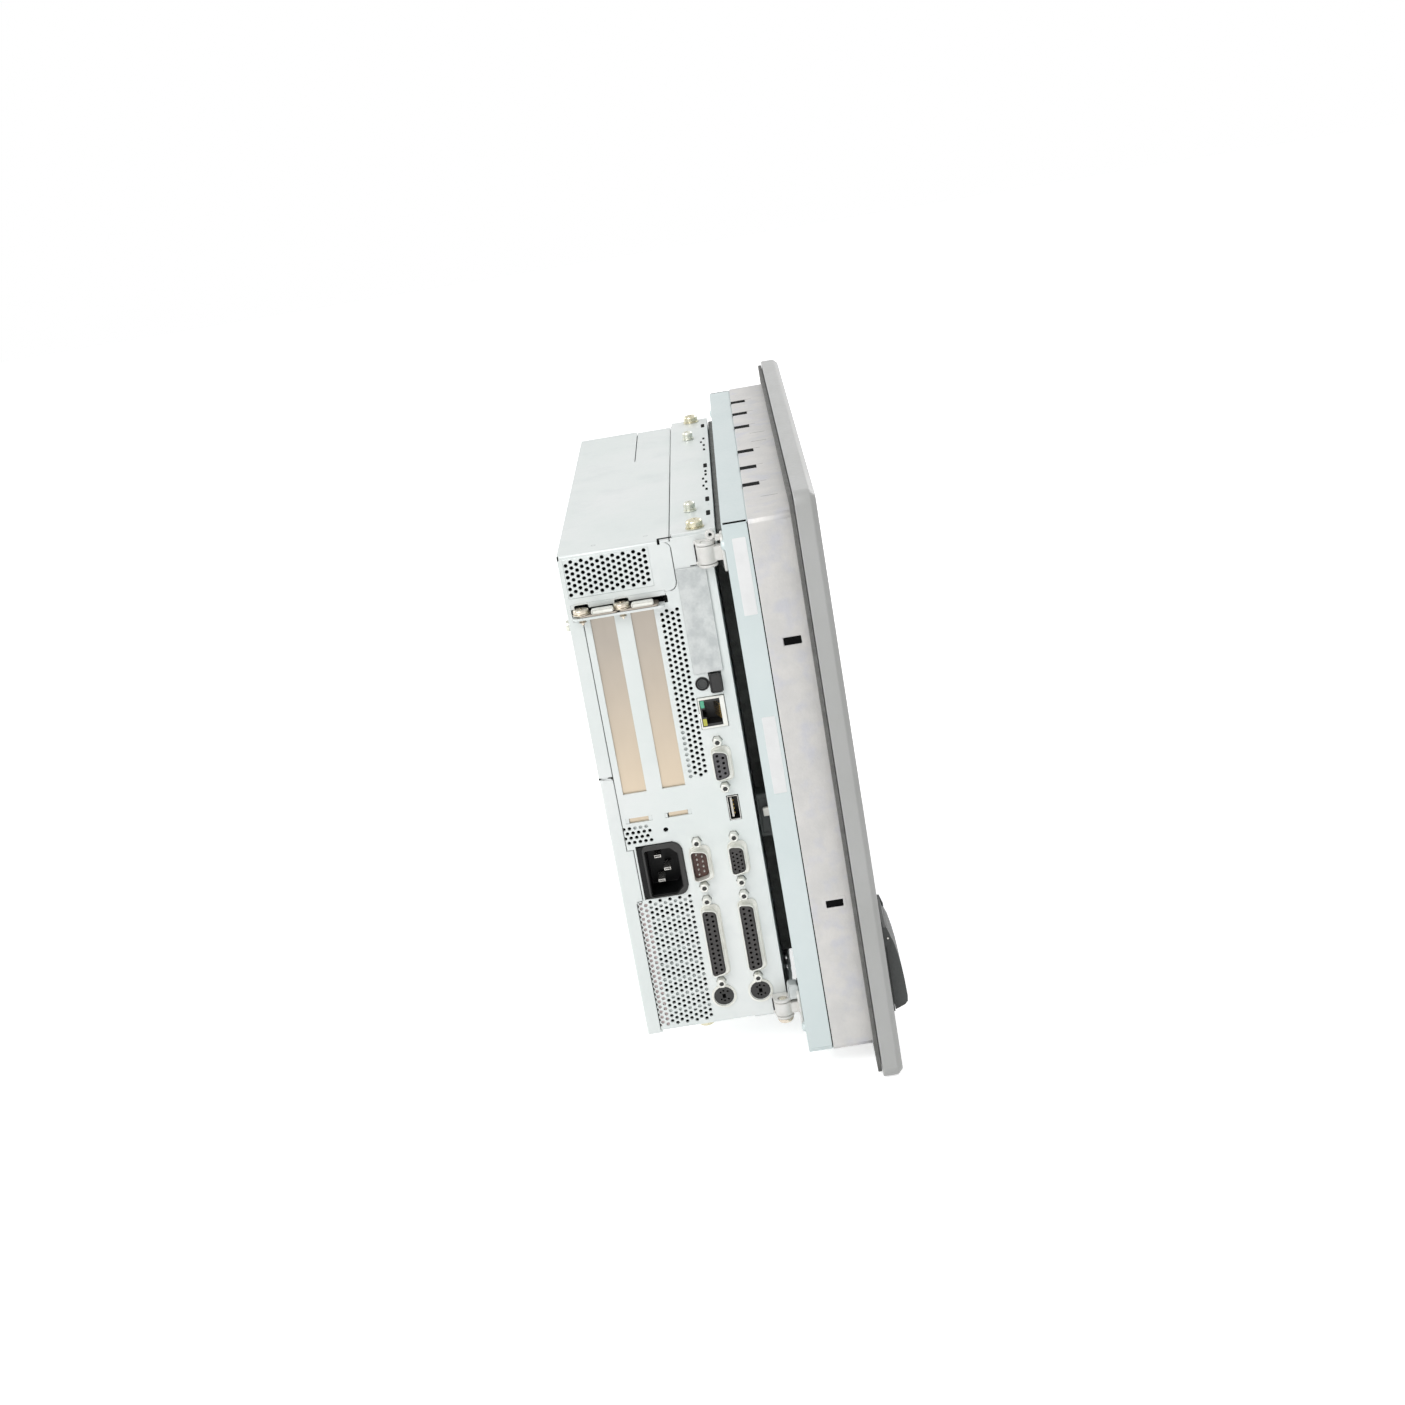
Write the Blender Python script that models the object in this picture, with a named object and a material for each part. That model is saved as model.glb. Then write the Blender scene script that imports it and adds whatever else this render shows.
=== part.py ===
# Industrial panel computer: an operator unit with a touch display in front, and a sheet-metal
# computer unit hinged on its back, so that it swings out for service.
# Metres. X runs to the operator's right, Y to the rear, Z up. The origin is the centre of the
# front's rear sealing face, which is where the unit meets the panel that it is mounted in.
import math

import bpy
import bmesh
from mathutils import Matrix, Vector
from mathutils.geometry import delaunay_2d_cdt

# Front of the operator unit
bezel_width = 0.400
bezel_height = 0.310
bezel_depth = 0.0104
bezel_chamfer = 0.0026
bezel_corner = 0.006
bezel_wall = 0.003
window_side_border = 0.075
window_top_border = 0.0605
window_width = bezel_width - 2 * window_side_border
window_height = bezel_height - 2 * window_top_border

# Cut-out of the mounting panel, which the front laps over, and the housing that passes through it
lap_side = 0.016
lap_top = 0.010
cutout_width = bezel_width - 2 * lap_side
cutout_height = bezel_height - 2 * lap_top
cutout_side_play = 0.001
cutout_top_play = 0.002
housing_depth = 0.023
housing_wall = 0.003

# Sheet-metal rear frame of the operator unit
frame_depth = 0.0125
frame_inset = 0.001

# Computer unit
computer_width = 0.297
computer_height = 0.262
computer_depth = 0.0758
computer_side_inset = 0.0265
computer_top_inset = 0.010
unit_gap = 0.0072

# Metal, clearances and cuts
sheet = 0.0012
seat_gap = 0.0003
running_gap = 0.0003
cut_overrun = 0.002

# Punched vent pattern, staggered
vent_pitch = 0.00296
vent_hole = 0.0016
vent_sides = 4

# Hinge of the computer unit
hinge_side_offset = 0.0065
hinge_front_offset = 0.0023
hinge_barrel_radius = 0.0047
hinge_pin_radius = 0.0022
hinge_ear = 0.0015

# Places that many pieces share
housing_half_x = cutout_width / 2 - cutout_side_play
housing_half_z = cutout_height / 2 - cutout_top_play
frame_front = housing_depth + seat_gap
frame_rear = frame_front + frame_depth
computer_left = -housing_half_x + computer_side_inset
computer_right = computer_left + computer_width
computer_top = housing_half_z - computer_top_inset
computer_bottom = computer_top - computer_height
computer_front = frame_rear + unit_gap
computer_rear = computer_front + computer_depth
hinge_x = computer_left - hinge_side_offset
hinge_y = computer_front + hinge_front_offset


def clear_scene():
    for thing in list(bpy.data.objects):
        bpy.data.objects.remove(thing, do_unlink=True)


def point_at(axis, along, u, v):
    """A point whose place along the axis is given, with its other two coordinates in order."""
    if axis == "X":
        return Vector((along, u, v))
    if axis == "Y":
        return Vector((u, along, v))
    return Vector((u, v, along))


def new_object(name, shape):
    bmesh.ops.recalc_face_normals(shape, faces=shape.faces)
    mesh = bpy.data.meshes.new(name)
    shape.to_mesh(mesh)
    shape.free()
    thing = bpy.data.objects.new(name, mesh)
    bpy.context.scene.collection.objects.link(thing)
    return thing


def block(low, high):
    """A box between two corners."""
    shape = bmesh.new()
    low = Vector(low)
    high = Vector(high)
    size = high - low
    place = Matrix.Translation((low + high) / 2) @ Matrix.Diagonal(size.to_4d())
    bmesh.ops.create_cube(shape, size=1.0, matrix=place)
    return new_object("block", shape)


def inside(point, loop):
    """Whether a point lies inside a closed loop."""
    x, y = point
    crossings = 0
    for (x1, y1), (x2, y2) in zip(loop, loop[1:] + loop[:1]):
        if (y1 > y) != (y2 > y) and x < x1 + (x2 - x1) * (y - y1) / (y2 - y1):
            crossings += 1
    return crossings % 2 == 1


def flat_mesh(outline, holes):
    """Triangles of an outline with its holes left open."""
    loops = [list(outline)] + [list(hole) for hole in holes]
    points = []
    edges = []
    owner = []
    for number, loop in enumerate(loops):
        first = len(points)
        count = len(loop)
        points += [Vector(point) for point in loop]
        owner += [number] * count
        edges += [(first + i, first + (i + 1) % count) for i in range(count)]
    scale = 1 / max(abs(value) for point in points for value in point)
    scaled = [point * scale for point in points]
    inside_triangles = 1
    flat, _, faces, sources, _, _ = delaunay_2d_cdt(scaled, edges, [], inside_triangles, 1e-7)
    places = [point / scale for point in flat]
    loop_of = [owner[source[0]] for source in sources]
    kept = []
    for face in faces:
        numbers = {loop_of[i] for i in face}
        number = numbers.pop()
        if not numbers and number > 0:
            middle = sum((places[i] for i in face), Vector((0, 0))) / len(face)
            if inside(middle, loops[number]):
                continue
        kept.append(face)
    return places, kept


def plate(axis, near, far, outline, holes=()):
    """A flat prism of an outline with holes, between two places along an axis."""
    places, faces = flat_mesh(outline, holes)
    shape = bmesh.new()
    low = [shape.verts.new(point_at(axis, near, *place)) for place in places]
    for face in faces:
        shape.faces.new([low[i] for i in face])
    lifted = bmesh.ops.extrude_face_region(shape, geom=shape.faces[:], use_keep_orig=True)
    moved = [item for item in lifted["geom"] if isinstance(item, bmesh.types.BMVert)]
    bmesh.ops.translate(shape, verts=moved, vec=point_at(axis, far - near, 0, 0))
    return new_object("plate", shape)


def loft(axis, sections):
    """A solid through outlines of equal point counts, each at its own place along the axis."""
    shape = bmesh.new()
    rings = []
    for along, outline in sections:
        rings.append([shape.verts.new(point_at(axis, along, u, v)) for u, v in outline])
    for lower, upper in zip(rings, rings[1:]):
        count = len(lower)
        for i in range(count):
            following = (i + 1) % count
            shape.faces.new((lower[i], lower[following], upper[following], upper[i]))
    shape.faces.new(rings[0])
    shape.faces.new(rings[-1])
    return new_object("loft", shape)


def rod(axis, near, far, u, v, radius, sides=16):
    """A round bar along an axis."""
    return plate(axis, near, far, circle(u, v, radius, sides))


def domed_head(axis, near, far, u, v, radius, sides=12):
    """A pan screw head: straight for half its height, then rounded in."""
    rise = far - near
    shoulder_share = 0.45
    crown_share = 0.85
    crown_radius_share = 0.8
    top_radius_share = 0.45
    rings = (
        (near, radius),
        (near + rise * shoulder_share, radius),
        (near + rise * crown_share, radius * crown_radius_share),
        (far, radius * top_radius_share),
    )
    return smooth(loft(axis, [(along, circle(u, v, size, sides)) for along, size in rings]))


def circle(u, v, radius, sides, start=0.0):
    turn = 2 * math.pi / sides
    return [
        (u + radius * math.cos(start + turn * i), v + radius * math.sin(start + turn * i))
        for i in range(sides)
    ]


def rectangle(u_low, v_low, u_high, v_high):
    return [(u_low, v_low), (u_high, v_low), (u_high, v_high), (u_low, v_high)]


def rounded(points, radius, steps=3, only=None):
    """Rounds the corners of an outline; only lists the corners to round, by number."""
    result = []
    count = len(points)
    for i, corner in enumerate(points):
        corner = Vector(corner)
        if only is not None and i not in only:
            result.append(tuple(corner))
            continue
        before = (Vector(points[i - 1]) - corner).normalized()
        after = (Vector(points[(i + 1) % count]) - corner).normalized()
        half = before.angle(after) / 2
        reach = radius / math.tan(half)
        centre = corner + (before + after).normalized() * (radius / math.sin(half))
        start = corner + before * reach - centre
        end = corner + after * reach - centre
        sweep = start.angle_signed(end)
        for step in range(steps + 1):
            turned = start.copy()
            turned.rotate(Matrix.Rotation(-sweep * step / steps, 2))
            result.append(tuple(centre + turned))
    return result


def rounded_box(width, height, radius, steps=3):
    """A centred rectangle with round corners."""
    return rounded(rectangle(-width / 2, -height / 2, width / 2, height / 2), radius, steps)


def combine(operation, piece, others):
    for other in others:
        change = piece.modifiers.new("combine", "BOOLEAN")
        change.operation = operation
        change.solver = "EXACT"
        change.object = other
        result = piece.evaluated_get(bpy.context.evaluated_depsgraph_get())
        mesh = bpy.data.meshes.new_from_object(result)
        piece.modifiers.clear()
        piece.data = mesh
        bpy.data.objects.remove(other, do_unlink=True)
    return piece


def fuse(piece, *others):
    return combine("UNION", piece, others)


def cut(piece, *others):
    return combine("DIFFERENCE", piece, others)


def smooth(piece, angle=math.radians(35)):
    piece.data.shade_smooth()
    piece.data.set_sharp_from_angle(angle=angle)
    return piece


def srgb(text):
    channels = [int(text[i : i + 2], 16) / 255 for i in (0, 2, 4)]
    linear = [c / 12.92 if c <= 0.04045 else ((c + 0.055) / 1.055) ** 2.4 for c in channels]
    return (*linear, 1.0)


# Colour, roughness and metallic value of each finish
finishes = {
    "painted sheet": ("dfe6e6", 0.45, 0.0),
    "bare sheet": ("cfd2d2", 0.35, 0.9),
    "cast aluminium": ("cfcdcb", 0.55, 0.6),
    "front enamel": ("b9bbb9", 0.4, 0.0),
    "front film": ("c4c8c8", 0.5, 0.0),
    "rubber": ("4c4c4a", 0.8, 0.0),
    "dark plastic": ("3a3c3c", 0.5, 0.0),
    "white plastic": ("e3dfd8", 0.5, 0.0),
    "yellow zinc": ("b9ad88", 0.3, 0.9),
    "stainless": ("c9baa9", 0.25, 1.0),
    "connector shell": ("c6c1ae", 0.3, 0.9),
    "glass": ("15181a", 0.08, 0.0),
    "circuit board": ("2f5a3c", 0.5, 0.0),
    "aluminium": ("b8babb", 0.4, 1.0),
}


def name_piece(piece, name, finish, parent):
    """Gives a finished solid its node name, its own material and the body that it moves with."""
    colour, roughness, metallic = finishes[finish]
    material = bpy.data.materials.new(name)
    material.use_nodes = True
    shader = material.node_tree.nodes["Principled BSDF"]
    shader.inputs["Base Color"].default_value = srgb(colour)
    shader.inputs["Roughness"].default_value = roughness
    shader.inputs["Metallic"].default_value = metallic
    piece.data.materials.clear()
    piece.data.materials.append(material)
    piece.name = name
    piece.data.name = name
    origin = parent.matrix_world.translation
    piece.data.transform(Matrix.Translation(-origin))
    piece.parent = parent
    return piece


def joint_empty(name, place, parent=None):
    empty = bpy.data.objects.new(name, None)
    bpy.context.scene.collection.objects.link(empty)
    empty.location = Vector(place)
    if parent:
        empty.parent = parent
        empty.location = Vector(place) - parent.matrix_world.translation
    bpy.context.view_layer.update()
    return empty


def shifted(outline, u, v):
    return [(a + u, b + v) for a, b in outline]


def vent_holes(u_low, v_low, u_high, v_high, sides, pitch=vent_pitch):
    """Round holes in a staggered field: columns along v, every second column set half a pitch up."""
    column_pitch = pitch * math.sqrt(3) / 2
    columns = int((u_high - u_low) / column_pitch + 1e-6) + 1
    rows = int((v_high - v_low) / pitch + 1e-6) + 1
    radius = vent_hole / 2 * pitch / vent_pitch
    holes = []
    for column in range(columns):
        u = u_low + column * column_pitch
        for row in range(rows):
            v = v_low + (row + (column % 2) / 2) * pitch
            if v <= v_high + pitch / 4:
                holes.append(circle(u, v, radius, sides, math.pi / sides))
    return holes


# Operator unit: front, display and housing

gasket_margin = 0.002
gasket_thickness = 0.002
gasket_clear = 0.001
film_recess = 0.0008
film_thickness = 0.0004
film_margin = 0.005
film_corner = 0.004
pocket_side_border = 0.025
pocket_top_border = 0.024
pocket_width = bezel_width - 2 * pocket_side_border
pocket_height = bezel_height - 2 * pocket_top_border
pocket_corner = 0.008
glass_thickness = 0.0028
glass_overlap = 0.006
display_thickness = 0.011
display_overlap = 0.005
carrier_ledge = 0.006
carrier_play = 0.001

# Place of the front port and its cover, which is centred on it
port_side_inset = 0.029
port_bottom_inset = 0.058
port_x = port_side_inset - bezel_width / 2
port_z = port_bottom_inset - bezel_height / 2
port_plate_width = 0.042
port_plate_height = 0.050
port_plate_rise = 0.0021
port_plate_corner = 0.002


def front_bezel(parent):
    outer = rounded_box(bezel_width, bezel_height, bezel_corner, 4)
    inner_corner = bezel_corner - bezel_chamfer
    face = rounded_box(
        bezel_width - 2 * bezel_chamfer, bezel_height - 2 * bezel_chamfer, inner_corner, 4
    )
    body = loft("Y", [(0, outer), (-bezel_depth + bezel_chamfer, outer), (-bezel_depth, face)])
    pocket = plate(
        "Y",
        -bezel_depth + bezel_wall,
        cut_overrun,
        rounded_box(pocket_width, pocket_height, pocket_corner, 2),
    )
    recess = plate("Y", -bezel_depth - cut_overrun, -bezel_depth + film_recess, film_outline())
    window = plate(
        "Y",
        -bezel_depth - cut_overrun,
        cut_overrun,
        rectangle(-window_width / 2, -window_height / 2, window_width / 2, window_height / 2),
    )
    port = plate("Y", -bezel_depth - cut_overrun, cut_overrun, port_opening())
    body = cut(body, pocket, recess, window, port)
    return name_piece(body, "front_bezel", "front enamel", parent)


def film_outline():
    return rounded_box(bezel_width - 2 * film_margin, bezel_height - 2 * film_margin, film_corner, 3)


def port_opening(grow=0.0):
    """Outline of the hole that the front port's socket passes."""
    half_width = usb_width / 2 + running_gap + grow
    half_height = usb_height / 2 + running_gap + grow
    return rectangle(
        port_x - half_width, port_z - half_height, port_x + half_width, port_z + half_height
    )


usb_width = 0.0131
usb_height = 0.0057
usb_wall = 0.0005
usb_depth = 0.0150
usb_tongue = 0.0018


def front_film(parent):
    outline = rounded_box(
        bezel_width - 2 * (film_margin + running_gap),
        bezel_height - 2 * (film_margin + running_gap),
        film_corner,
        3,
    )
    window = rectangle(-window_width / 2, -window_height / 2, window_width / 2, window_height / 2)
    port = shifted(
        rounded_box(
            port_plate_width + 2 * running_gap,
            port_plate_height + 2 * running_gap,
            port_plate_corner,
            2,
        ),
        port_x,
        port_z,
    )
    rear = -bezel_depth + film_recess - seat_gap
    film = plate("Y", rear - film_thickness, rear, outline, [window, port])
    return name_piece(film, "front_film", "front film", parent)


def panel_gasket(parent):
    outer = rounded_box(
        bezel_width - 2 * gasket_margin, bezel_height - 2 * gasket_margin, bezel_corner, 3
    )
    inner = rounded_box(
        cutout_width + 2 * gasket_clear, cutout_height + 2 * gasket_clear, bezel_corner / 2, 2
    )
    ring = plate("Y", seat_gap, seat_gap + gasket_thickness, outer, [inner])
    return name_piece(ring, "panel_gasket", "rubber", parent)


def touch_screen(parent):
    front = -bezel_depth + bezel_wall + seat_gap
    outline = rounded_box(
        window_width + 2 * glass_overlap, window_height + 2 * glass_overlap, glass_thickness, 2
    )
    pane = plate("Y", front, front + glass_thickness, outline)
    return name_piece(pane, "touch_screen", "glass", parent)


display_front = -bezel_depth + bezel_wall + 2 * seat_gap + glass_thickness
display_rear = display_front + display_thickness
carrier_rear = display_rear + seat_gap + sheet
display_half_x = window_width / 2 + display_overlap
display_half_z = window_height / 2 + display_overlap


def display_panel(parent):
    """The display module: a metal-framed body with a thinner lamp strip below."""
    rim = 0.0015
    body = block(
        (-display_half_x, display_front, -display_half_z),
        (display_half_x, display_rear, display_half_z),
    )
    back_border = 0.010
    back = block(
        (-display_half_x + back_border, display_rear - rim, -display_half_z + back_border),
        (display_half_x - back_border, display_rear + cut_overrun, display_half_z - back_border),
    )
    return name_piece(cut(body, back), "display_panel", "bare sheet", parent)


def display_carrier(parent):
    """Sheet plate that holds the display against the glass, seated on the housing's ledge."""
    half_x = housing_half_x - housing_wall - carrier_play
    half_z = housing_half_z - housing_wall - carrier_play
    outline = rectangle(-half_x, -half_z, half_x, half_z)
    side_slot_width = 0.012
    side_slot_height = 0.090
    side_slot_x = (half_x + display_half_x) / 2
    holes = []
    for side in (-1, 1):
        slot = rounded_box(side_slot_width, side_slot_height, side_slot_width / 3, 2)
        holes.append(shifted(slot, side * side_slot_x, 0))
    piece = plate("Y", display_rear + seat_gap, carrier_rear, outline, holes)
    return name_piece(piece, "display_carrier", "bare sheet", parent)


def backlight_inverter(parent):
    """Long narrow board with its transformers, standing on the carrier's rear."""
    length = 0.120
    width = 0.024
    board = 0.0016
    tall = 0.0075
    low_z = -housing_half_z + housing_wall + carrier_ledge + running_gap
    base = carrier_rear + seat_gap
    body = block((-length / 2, base, low_z), (length / 2, base + board, low_z + width))
    coil_length = 0.014
    coil_inset = 0.004
    coil_shares = (-0.34, 0.0, 0.34)
    for share in coil_shares:
        middle = share * length
        coil = block(
            (middle - coil_length / 2, base + board / 2, low_z + coil_inset),
            (middle + coil_length / 2, base + tall, low_z + width - coil_inset),
        )
        body = fuse(body, coil)
    return name_piece(body, "backlight_inverter", "circuit board", parent)


# Housing vents are notches open at its rear edge, in its top and its bottom wall
vent_notch_width = 0.007
vent_notch_depth = 0.0086
vent_notch_x_shares = (-0.60, -0.37, -0.13, 0.26, 0.49, 0.71)
clamp_slot_depth = 0.0088
clamp_slot_height = 0.004
clamp_slot_front = 0.0063
clamp_upper_z = 0.0792
clamp_lower_z = -0.0610
clamp_recess = 0.0008


def cast_housing(parent):
    corner = 0.003
    outer = rounded_box(2 * housing_half_x, 2 * housing_half_z, corner, 2)
    inner = rounded_box(
        2 * (housing_half_x - housing_wall), 2 * (housing_half_z - housing_wall), corner / 2, 2
    )
    body = plate("Y", seat_gap, housing_depth, outer, [inner])
    ledge_front = carrier_rear + seat_gap
    ledge_thickness = 0.003
    ledge = plate(
        "Y",
        ledge_front,
        ledge_front + ledge_thickness,
        rounded_box(
            2 * housing_half_x - housing_wall, 2 * housing_half_z - housing_wall, corner, 2
        ),
        [
            rounded_box(
                2 * (housing_half_x - housing_wall - carrier_ledge),
                2 * (housing_half_z - housing_wall - carrier_ledge),
                corner,
                2,
            )
        ],
    )
    body = fuse(body, ledge)
    boss = 0.009
    for side in (-1, 1):
        for level in (-1, 1):
            outer_x = side * (housing_half_x - housing_wall / 2)
            outer_z = level * (housing_half_z - housing_wall / 2)
            inner_x = outer_x - side * boss
            inner_z = outer_z - level * boss
            corner_boss = block(
                (min(outer_x, inner_x), ledge_front, min(outer_z, inner_z)),
                (max(outer_x, inner_x), housing_depth - corner / 3, max(outer_z, inner_z)),
            )
            body = fuse(body, corner_boss)
    cutters = []
    for share in vent_notch_x_shares:
        middle = share * housing_half_x
        for level in (-1, 1):
            wall = level * (housing_half_z - housing_wall / 2)
            cutters.append(
                block(
                    (
                        middle - vent_notch_width / 2,
                        housing_depth - vent_notch_depth,
                        wall - housing_wall,
                    ),
                    (
                        middle + vent_notch_width / 2,
                        housing_depth + cut_overrun,
                        wall + housing_wall,
                    ),
                )
            )
    for side in (-1, 1):
        for height in (clamp_lower_z, clamp_upper_z):
            wall = side * (housing_half_x - housing_wall / 2)
            cutters.append(
                block(
                    (wall - housing_wall, clamp_slot_front, height - clamp_slot_height / 2),
                    (
                        wall + housing_wall,
                        clamp_slot_front + clamp_slot_depth,
                        height + clamp_slot_height / 2,
                    ),
                )
            )
    return name_piece(cut(body, *cutters), "cast_housing", "cast aluminium", parent)


def rear_frame(parent):
    """Folded tray behind the housing, with slit corners, a cable window and vent slots."""
    half_x = housing_half_x - frame_inset
    half_z = housing_half_z - frame_inset
    slit = 0.0006
    rear_front = frame_rear - sheet
    cable_width = 0.090
    cable_height = 0.050
    holes = [rounded_box(cable_width, cable_height, pocket_corner / 2, 2)]
    slot_width = 0.004
    slot_height = 0.024
    slot_level = 0.088
    slot_pitch = 0.014
    slots = 8
    for level in (-1, 1):
        for i in range(slots):
            middle = (i - (slots - 1) / 2) * slot_pitch
            slot = rectangle(
                -slot_width / 2, -slot_height / 2, slot_width / 2, slot_height / 2
            )
            holes.append(shifted(slot, middle, level * slot_level))
    body = plate("Y", rear_front, frame_rear, rectangle(-half_x, -half_z, half_x, half_z), holes)
    overlap = sheet / 2
    for level in (-1, 1):
        outer = level * half_z
        inner = outer - level * sheet
        wall = block(
            (-half_x, frame_front, min(outer, inner)),
            (half_x, rear_front + overlap, max(outer, inner)),
        )
        body = fuse(body, wall)
    for side in (-1, 1):
        outer = side * half_x
        inner = outer - side * sheet
        end = half_z - sheet - slit
        wall = block(
            (min(outer, inner), frame_front, -end), (max(outer, inner), rear_front + overlap, end)
        )
        body = fuse(body, wall)
    screw_side_inset = 0.006
    screw_end_inset = 0.012
    screw_radius = 0.0028
    screw_head = 0.0018
    for side in (-1, 1):
        for level in (-1, 1):
            head = domed_head(
                "Y",
                frame_rear - sheet / 2,
                frame_rear + screw_head,
                side * (half_x - screw_side_inset),
                level * (half_z - screw_end_inset),
                screw_radius,
                8,
            )
            body = fuse(body, head)
    return name_piece(body, "rear_frame", "painted sheet", parent)


# Front port with its hinged cover
cover_hinge_y = -0.0129
cover_hinge_rise = 0.0165
cover_hinge_z = port_z + cover_hinge_rise
cover_end_radius = 0.0014
cover_pin_radius = 0.0005
cover_bore_radius = 0.0008
cover_lug = 0.0025
cover_length = 0.0411
cover_rise = 0.0057
port_plate_front = -bezel_depth + film_recess - seat_gap - port_plate_rise + film_recess


def port_frame(parent):
    """Moulded plate round the front port, with two lugs for the cover's pin and a hood above."""
    rear = -bezel_depth + film_recess - seat_gap
    front = cover_hinge_y + cover_end_radius + running_gap
    outline = shifted(
        rounded_box(port_plate_width, port_plate_height, port_plate_corner, 2), port_x, port_z
    )
    body = plate("Y", front, rear, outline, [port_opening()])
    lug_top = port_z + port_plate_height / 2 - port_plate_corner
    lug_front = cover_hinge_y - cover_end_radius
    slope_top = lug_top - cover_end_radius / 4
    lug_profile = [
        (front + port_plate_rise / 4, lug_top),
        (cover_hinge_y, slope_top),
        (lug_front, cover_hinge_z + cover_end_radius),
        (lug_front, cover_hinge_z - cover_end_radius / 2),
        (lug_front + port_plate_rise / 2, cover_hinge_z - 2 * cover_end_radius),
        (front + port_plate_rise / 4, cover_hinge_z - 4 * cover_end_radius),
    ]
    for side in (-1, 1):
        outer = port_x + side * port_plate_width / 2
        inner = outer - side * cover_lug
        lug = plate("X", min(outer, inner), max(outer, inner), lug_profile)
        body = fuse(body, lug)
    hood_low = cover_hinge_z + cover_end_radius + 2 * running_gap
    hood_profile = [
        (front + port_plate_rise / 4, lug_top),
        (cover_hinge_y + running_gap, slope_top),
        (cover_hinge_y - running_gap, hood_low),
        (front + port_plate_rise / 4, hood_low),
    ]
    hood_end = port_plate_width / 2 - cover_lug / 2
    body = fuse(body, plate("X", port_x - hood_end, port_x + hood_end, hood_profile))
    pin_hole = rod(
        "X",
        port_x - port_plate_width / 2 - cut_overrun,
        port_x + port_plate_width / 2 + cut_overrun,
        cover_hinge_y,
        cover_hinge_z,
        cover_bore_radius,
        8,
    )
    return name_piece(cut(body, pin_hole), "port_frame", "dark plastic", parent)


def port_cover_pin(parent):
    end = port_plate_width / 2
    pin = rod(
        "X", port_x - end, port_x + end, cover_hinge_y, cover_hinge_z, cover_pin_radius, 8
    )
    return name_piece(smooth(pin), "port_cover_pin", "stainless", parent)


def front_port_cover(parent):
    """Flap that bulges outward below its pin, with a slanted lower edge to lift it by."""
    back = cover_hinge_y + cover_end_radius
    front = cover_hinge_y - cover_end_radius
    bottom = cover_hinge_z - cover_length
    arc_steps = 5
    outline = []
    for i in range(arc_steps + 1):
        angle = math.pi * i / arc_steps
        outline.append(
            (
                cover_hinge_y + cover_end_radius * math.cos(angle),
                cover_hinge_z + cover_end_radius * math.sin(angle),
            )
        )
    bulge_shares = (
        (0.09, 0.29),
        (0.25, 0.58),
        (0.43, 0.81),
        (0.61, 0.93),
        (0.84, 1.0),
        (0.91, 0.92),
        (0.95, 0.57),
        (0.98, -0.12),
    )
    for along_share, rise_share in bulge_shares:
        depth = (cover_rise - cover_end_radius) * rise_share
        outline.append((front - depth, cover_hinge_z - cover_length * along_share))
    outline.append((back, bottom))
    inner_end = port_plate_width / 2 - cover_lug - running_gap
    body = plate("X", port_x - inner_end, port_x + inner_end, outline)
    bore = rod(
        "X",
        port_x - inner_end - cut_overrun,
        port_x + inner_end + cut_overrun,
        cover_hinge_y,
        cover_hinge_z,
        cover_bore_radius,
        8,
    )
    body = cut(body, bore)
    return name_piece(smooth(body), "front_port_cover", "dark plastic", parent)


def front_usb_socket(parent):
    """Socket behind the front cover, in the port frame's opening, with its cable tail behind."""
    front = -bezel_depth
    half_width = usb_width / 2
    half_height = usb_height / 2
    rear = front + usb_depth
    shell = block(
        (port_x - half_width, front, port_z - half_height),
        (port_x + half_width, rear, port_z + half_height),
    )
    mouth_depth_share = 0.6
    mouth = block(
        (port_x - half_width + usb_wall, front - cut_overrun, port_z - half_height + usb_wall),
        (
            port_x + half_width - usb_wall,
            front + usb_depth * mouth_depth_share,
            port_z + half_height - usb_wall,
        ),
    )
    shell = cut(shell, mouth)
    tongue_top = port_z + half_height - 2 * usb_wall
    tongue = block(
        (port_x - half_width + 2 * usb_wall, front + usb_wall, tongue_top - usb_tongue),
        (port_x + half_width - 2 * usb_wall, rear - usb_wall, tongue_top),
    )
    shell = fuse(shell, tongue)
    return name_piece(shell, "front_usb_socket", "connector shell", parent)


# Hinge between the two units

hinge_bracket_height = 0.019
hinge_bracket_width = 0.014
hinge_arm_width = 0.006
hinge_arm_height = 0.010
hinge_leaf_reach = 0.0055
pin_head_radius = 0.0042
pin_head_height = 0.0026
lower_hinge_height = 0.00565
upper_hinge_height = 0.253
lower_barrel = 0.0073
upper_barrel = 0.009


def hinge_bracket(name, height, barrel, parent):
    """Plate on the operator unit's rear frame, with an arm that ends in the hinge's barrel."""
    middle = computer_bottom + height
    base_rear = frame_rear + seat_gap + hinge_ear
    half_width = hinge_bracket_width / 2
    outline = rounded(
        rectangle(
            hinge_x - half_width,
            middle - hinge_bracket_height / 2,
            hinge_x + half_width,
            middle + hinge_bracket_height / 2,
        ),
        half_width / 2,
        2,
    )
    body = plate("Y", frame_rear + seat_gap, base_rear, outline)
    arm_share = 0.8
    half_arm = min(hinge_arm_height, barrel * arm_share) / 2
    arm = block(
        (hinge_x - hinge_arm_width / 2, base_rear - hinge_ear / 2, middle - half_arm),
        (hinge_x + hinge_arm_width / 2, hinge_y, middle + half_arm),
    )
    round_barrel = rod(
        "Z", middle - barrel / 2, middle + barrel / 2, hinge_x, hinge_y, hinge_barrel_radius, 20
    )
    body = fuse(body, arm, round_barrel)
    bore = rod(
        "Z",
        middle - barrel / 2 - cut_overrun,
        middle + barrel / 2 + cut_overrun,
        hinge_x,
        hinge_y,
        hinge_pin_radius + running_gap,
        16,
    )
    return name_piece(smooth(cut(body, bore)), name, "white plastic", parent)


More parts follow.
